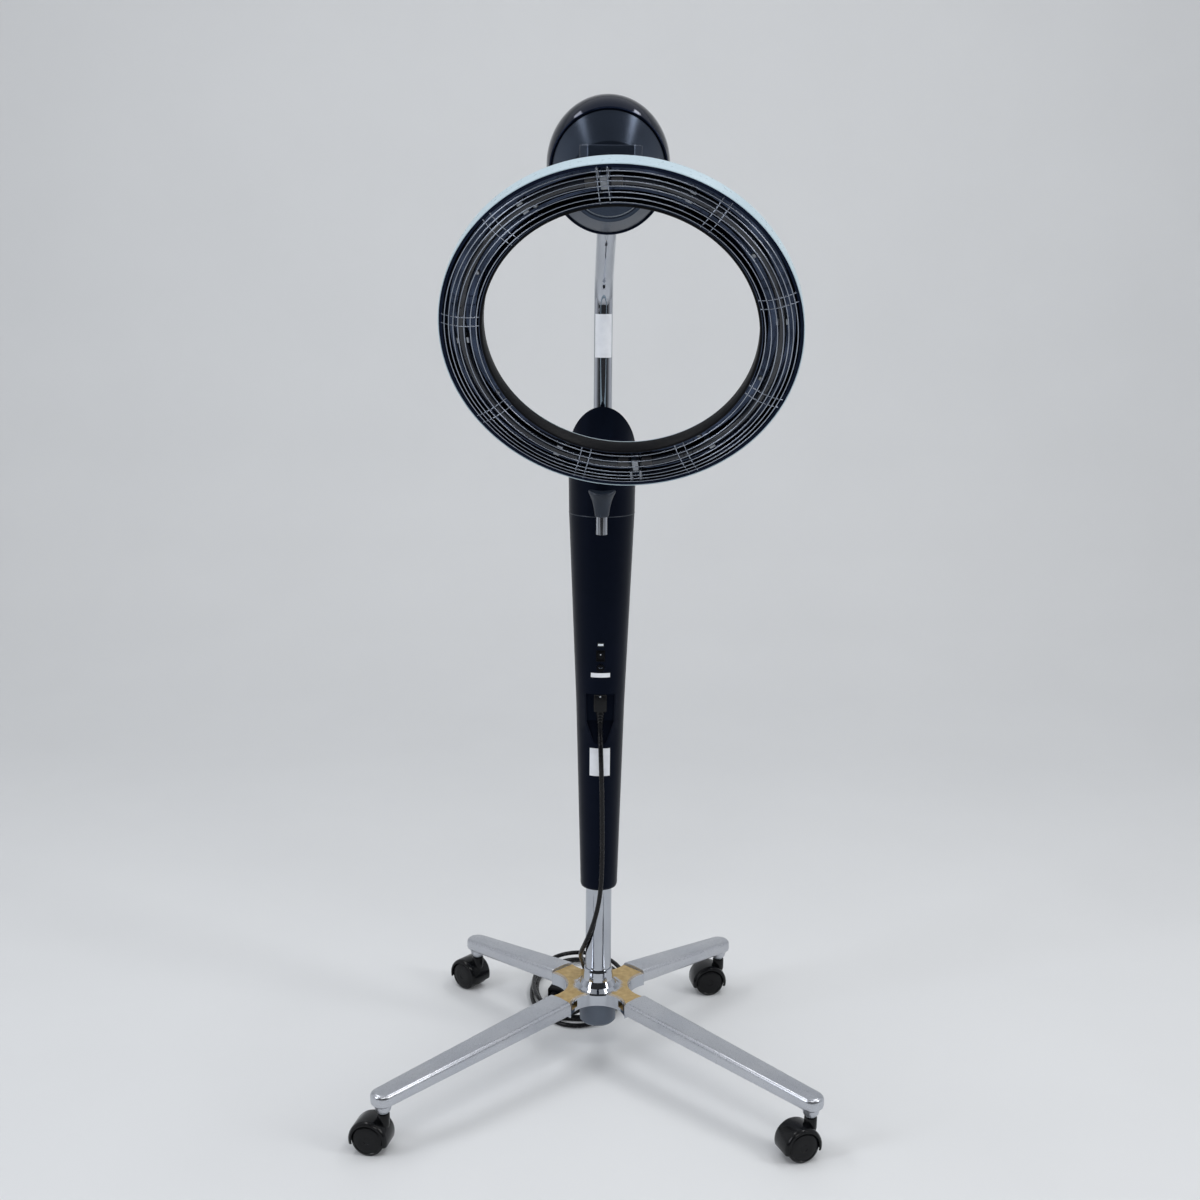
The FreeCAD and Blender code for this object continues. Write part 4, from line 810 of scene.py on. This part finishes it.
def makeWallBlades():
    bm = bmesh.new()
    for x in (-wallPlug["bladeAt"], wallPlug["bladeAt"]):
        blade = bmesh.new()
        blockIn(blade, (x - 0.8, 37, 8), (x + 0.8, 56, 14))
        bevelSharp(blade, 0.5, 2)
        joinInto(bm, blade)
    return bm


wallPlugPlace = shifted(*wallPlug["back"]) @ turned(wallPlug["turn"])
wallPlugPiece = newPiece("wallPlugBody", makeWallPlug(), wallPlugPlace, "stand", mattBlack,
                         ["wall_plug"], 30)
wallBlades = newPiece("wallPlugBlades", makeWallBlades(), wallPlugPlace, "stand", zincSteel,
                      (), 30)
print("connectors made")

# what the CAD nodes are made of
madeFrom = {
    # the hub's chrome carries a painted reflection of the wooden wall on its tops
    hubChromePaintedReflection: ["hub"],
    chrome: ["post", "clamp_lever"],
    greyCup: ["lower_cap"],
    zincSteel: ["hub_screws", "caster_stems", "tilt_pin", "head_frame", "turn_shaft", "heater_clips",
                "caster_axle_front_right", "caster_axle_front_left", "caster_axle_rear_left",
                "caster_axle_rear_right"],
    satinBlack: ["column_foot_ring", "column_cover", "column_cap", "inlet_pocket", "neck_block",
                 "swivel_bush"],
    graphite: ["ring_arm"],
    mattBlack: ["power_inlet", "switch_case", "power_switch", "breaker_button", "control_panel",
                "start_button", "plus_button", "minus_button", "power_board"],
    labelFilm: ["blank_labels", "tube_label"],
    smokedGlass: ["display_window", "indicator_lens"],
    motorSteel: ["gear_motor"],
}
for material, names in madeFrom.items():
    for name in names:
        nodes[name].data.materials.clear()
        nodes[name].data.materials.append(material)

slant = {"top": 1074.0, "half": 53.2, "steep": 56.7}  # the cap's slanted top, which carries the panel
slantOrigin = Vector((0, 0, slant["top"] - slant["half"] * math.tan(math.radians(slant["steep"]))))
slantUp = Vector((0, -cosine(slant["steep"]), sine(slant["steep"])))
slantPlace = axesAt(-xAxis, slantUp, slantOrigin)
marks = {"row": -66.5, "pitch": 17.0, "top": 3.45, "long": 2.4, "thin": 0.45, "high": 0.25}


def makeMark(upright):
    bm = bmesh.new()
    long, thin, high = marks["long"], marks["thin"], marks["high"]
    blockIn(bm, (-long, -thin, 0), (long, thin, high))
    if upright:
        blockIn(bm, (-thin, -long, 0), (thin, long, high))
    return bm


dot = bmesh.new()
lathe(dot, [(0, marks["high"]), (1.7, marks["high"]), (1.9, 0), (0, 0)], 24)
for name, shape, across in (("plus", makeMark(True), marks["pitch"]),
                            ("minus", makeMark(False), -marks["pitch"]), ("start", dot, 0)):
    newPiece(name + "Mark", shape, slantPlace @ shifted(across, marks["row"], marks["top"]), name + "_button",
             printGrey)
small = {"face": -42.85, "rim": -40.6, "switch": 688.2, "switchTilt": 12.5, "breaker": 667.0,
         "breakerFace": -43.45, "light": 704.0, "screw": 619.6}


def makeDisc(radius, height):
    bm = bmesh.new()
    lathe(bm, [(0, height), (radius * 0.8, height), (radius, height * 0.5), (radius, -0.3), (0, -0.3)], 24)
    return bm


def facing(x, y, z):  # own Z points to the front
    return shifted(x, y, z) @ turned(90, "X")


newPiece("switchDot", makeDisc(1.1, 0.25),
         facing(0, small["face"], small["switch"]) @ turned(small["switchTilt"], "X"),
         "power_switch", printGrey)
bezel = bmesh.new()
lathe(bezel, [(5.4, 0), (7.0, 0), (7.0, 0.9), (6.4, 1.5), (5.7, 1.2), (5.4, 0.4)], 40, closed=True)
newPiece("breakerBezel", bezel, facing(0, small["rim"], small["breaker"]), "stand", satinBlack)
for side in (-1, 1):
    mark = bmesh.new()
    blockIn(mark, (-1.4, -0.35, 0), (1.4, 0.35, 0.2))
    newPiece("breakerMark" + ("Left" if side < 0 else "Right"), mark,
             facing(side * 1.9, small["breakerFace"], small["breaker"]) @ turned(side * 25), "breaker_button",
             greyCup)
light = bmesh.new()
blockIn(light, (-4.2, -1.5, -1), (4.2, 1.5, 0.25))
bevelSharp(light, 0.4, 2)
newPiece("indicatorLight", light, facing(0, small["face"], small["light"]), "stand", lampWhite)
newPiece("connectorScrew", makeDisc(1.5, 0.5), facing(0, small["rim"], small["screw"]), "stand", zincSteel)
print("CAD nodes finished")

# studio
studio = {"floor": "#dfe1e3", "backdrop": "#e1e3e5", "halfWidth": 4.5, "fill": 0.5, "seen": 0.82,
          "mirrored": (0.05, 0.80), "sky": "#f3f4f6", "room": "#e4e7ec"}
stageMaterial, stageTree, stageSurface, stageWhere = newMaterial("paleStudioPaper", {"Roughness": 0.7})
paper = tint(stageTree, grainOf(stageTree, stageWhere, 400, 3), studio["floor"], studio["backdrop"])
stageTree.links.new(paper, stageSurface.inputs["Base Color"])
sweep = bmesh.new()
strip = [sweep.verts.new((-studio["halfWidth"], y, z)) for y, z in
         [(-4.5, 0), (1.6, 0), (2.0, 0.04), (2.35, 0.16), (2.6, 0.36), (2.75, 0.64), (2.8, 1.0), (2.8, 4.2)]]
stripEdges = [sweep.edges.new(pair) for pair in zip(strip, strip[1:])]
wide = bmesh.ops.extrude_edge_only(sweep, edges=stripEdges)["geom"]
bmesh.ops.translate(sweep, vec=(2 * studio["halfWidth"], 0, 0), verts=newVerts(wide))
bmesh.ops.recalc_face_normals(sweep, faces=sweep.faces[:])
sweepMesh = bpy.data.meshes.new("studioSweep")
sweep.to_mesh(sweepMesh)
sweep.free()
sweepMesh.polygons.foreach_set("use_smooth", [True] * len(sweepMesh.polygons))
sweepMesh.materials.append(stageMaterial)
studioSweep = bpy.data.objects.new("studioSweep", sweepMesh)
bpy.context.scene.collection.objects.link(studioSweep)


def addLamp(name, spot, target, size, power, colour="#ffffff"):
    lampData = bpy.data.lights.new(name, "AREA")
    lampData.shape = "RECTANGLE"
    lampData.size, lampData.size_y = size
    lampData.energy = power
    lampData.color = toLinear(colour)[:3]
    lamp = bpy.data.objects.new(name, lampData)
    lamp.location = spot
    lamp.rotation_euler = (Vector(target) - Vector(spot)).to_track_quat("-Z", "Y").to_euler()
    bpy.context.scene.collection.objects.link(lamp)


addLamp("ceilingLeft", (-1.45, 0.1, 3.3), (0, 0, 0.7), (1.7, 0.38), 13)
addLamp("ceilingRight", (1.3, 0.1, 3.3), (0, 0, 0.7), (1.7, 0.32), 16)
addLamp("ceilingStripFront", (0.4, -2.4, 3.2), (0, -0.2, 0.8), (2.6, 0.4), 22)
addLamp("leftWindow", (-2.6, -1.6, 1.9), (0, 0, 0.9), (0.8, 1.8), 26, "#f6f9ff")
addLamp("rightPanel", (2.4, -1.2, 2.0), (0, 0, 1.0), (0.5, 1.4), 18)

world = bpy.data.worlds.new("softRoom")
bpy.context.scene.world = world
world.use_nodes = True
worldTree = world.node_tree
worldTree.nodes.clear()
paths = addNode(worldTree, "LightPath")
cameraRay = paths.outputs["Is Camera Ray"]
seen = cameraRay
for ray in ("Is Glossy Ray", "Is Transmission Ray"):
    seen = addNode(worldTree, "Math", {"operation": "MAXIMUM"}, i0=seen, i1=paths.outputs[ray]).outputs[0]
# metal mirrors a room that is pale behind the stand and dark in front of it; the camera sees plain paper
direction = addNode(worldTree, "SeparateXYZ", {}, Vector=addNode(worldTree, "TexCoord").outputs["Generated"])
behind = addNode(worldTree, "MapRange", {"From Min": -0.7, "From Max": 0.3, "To Min": studio["mirrored"][0],
                                         "To Max": studio["mirrored"][1], "interpolation_type": "SMOOTHSTEP"},
                 Value=direction.outputs["Y"])
plain = addNode(worldTree, "Math", {"operation": "MULTIPLY", 1: studio["seen"]}, i0=cameraRay)
behind = addNode(worldTree, "Math", {"operation": "MAXIMUM"}, i0=behind.outputs[0], i1=plain.outputs[0])
soft = addNode(worldTree, "Background", {"Color": toLinear(studio["sky"]), "Strength": studio["fill"]})
bright = addNode(worldTree, "Background", {"Color": toLinear(studio["room"])}, Strength=behind.outputs[0])
mixed = addNode(worldTree, "MixShader", {}, i0=seen, i1=soft.outputs[0], i2=bright.outputs[0])
addNode(worldTree, "OutputWorld", {}, Surface=mixed.outputs[0])
bpy.context.scene.view_settings.view_transform = "Standard"
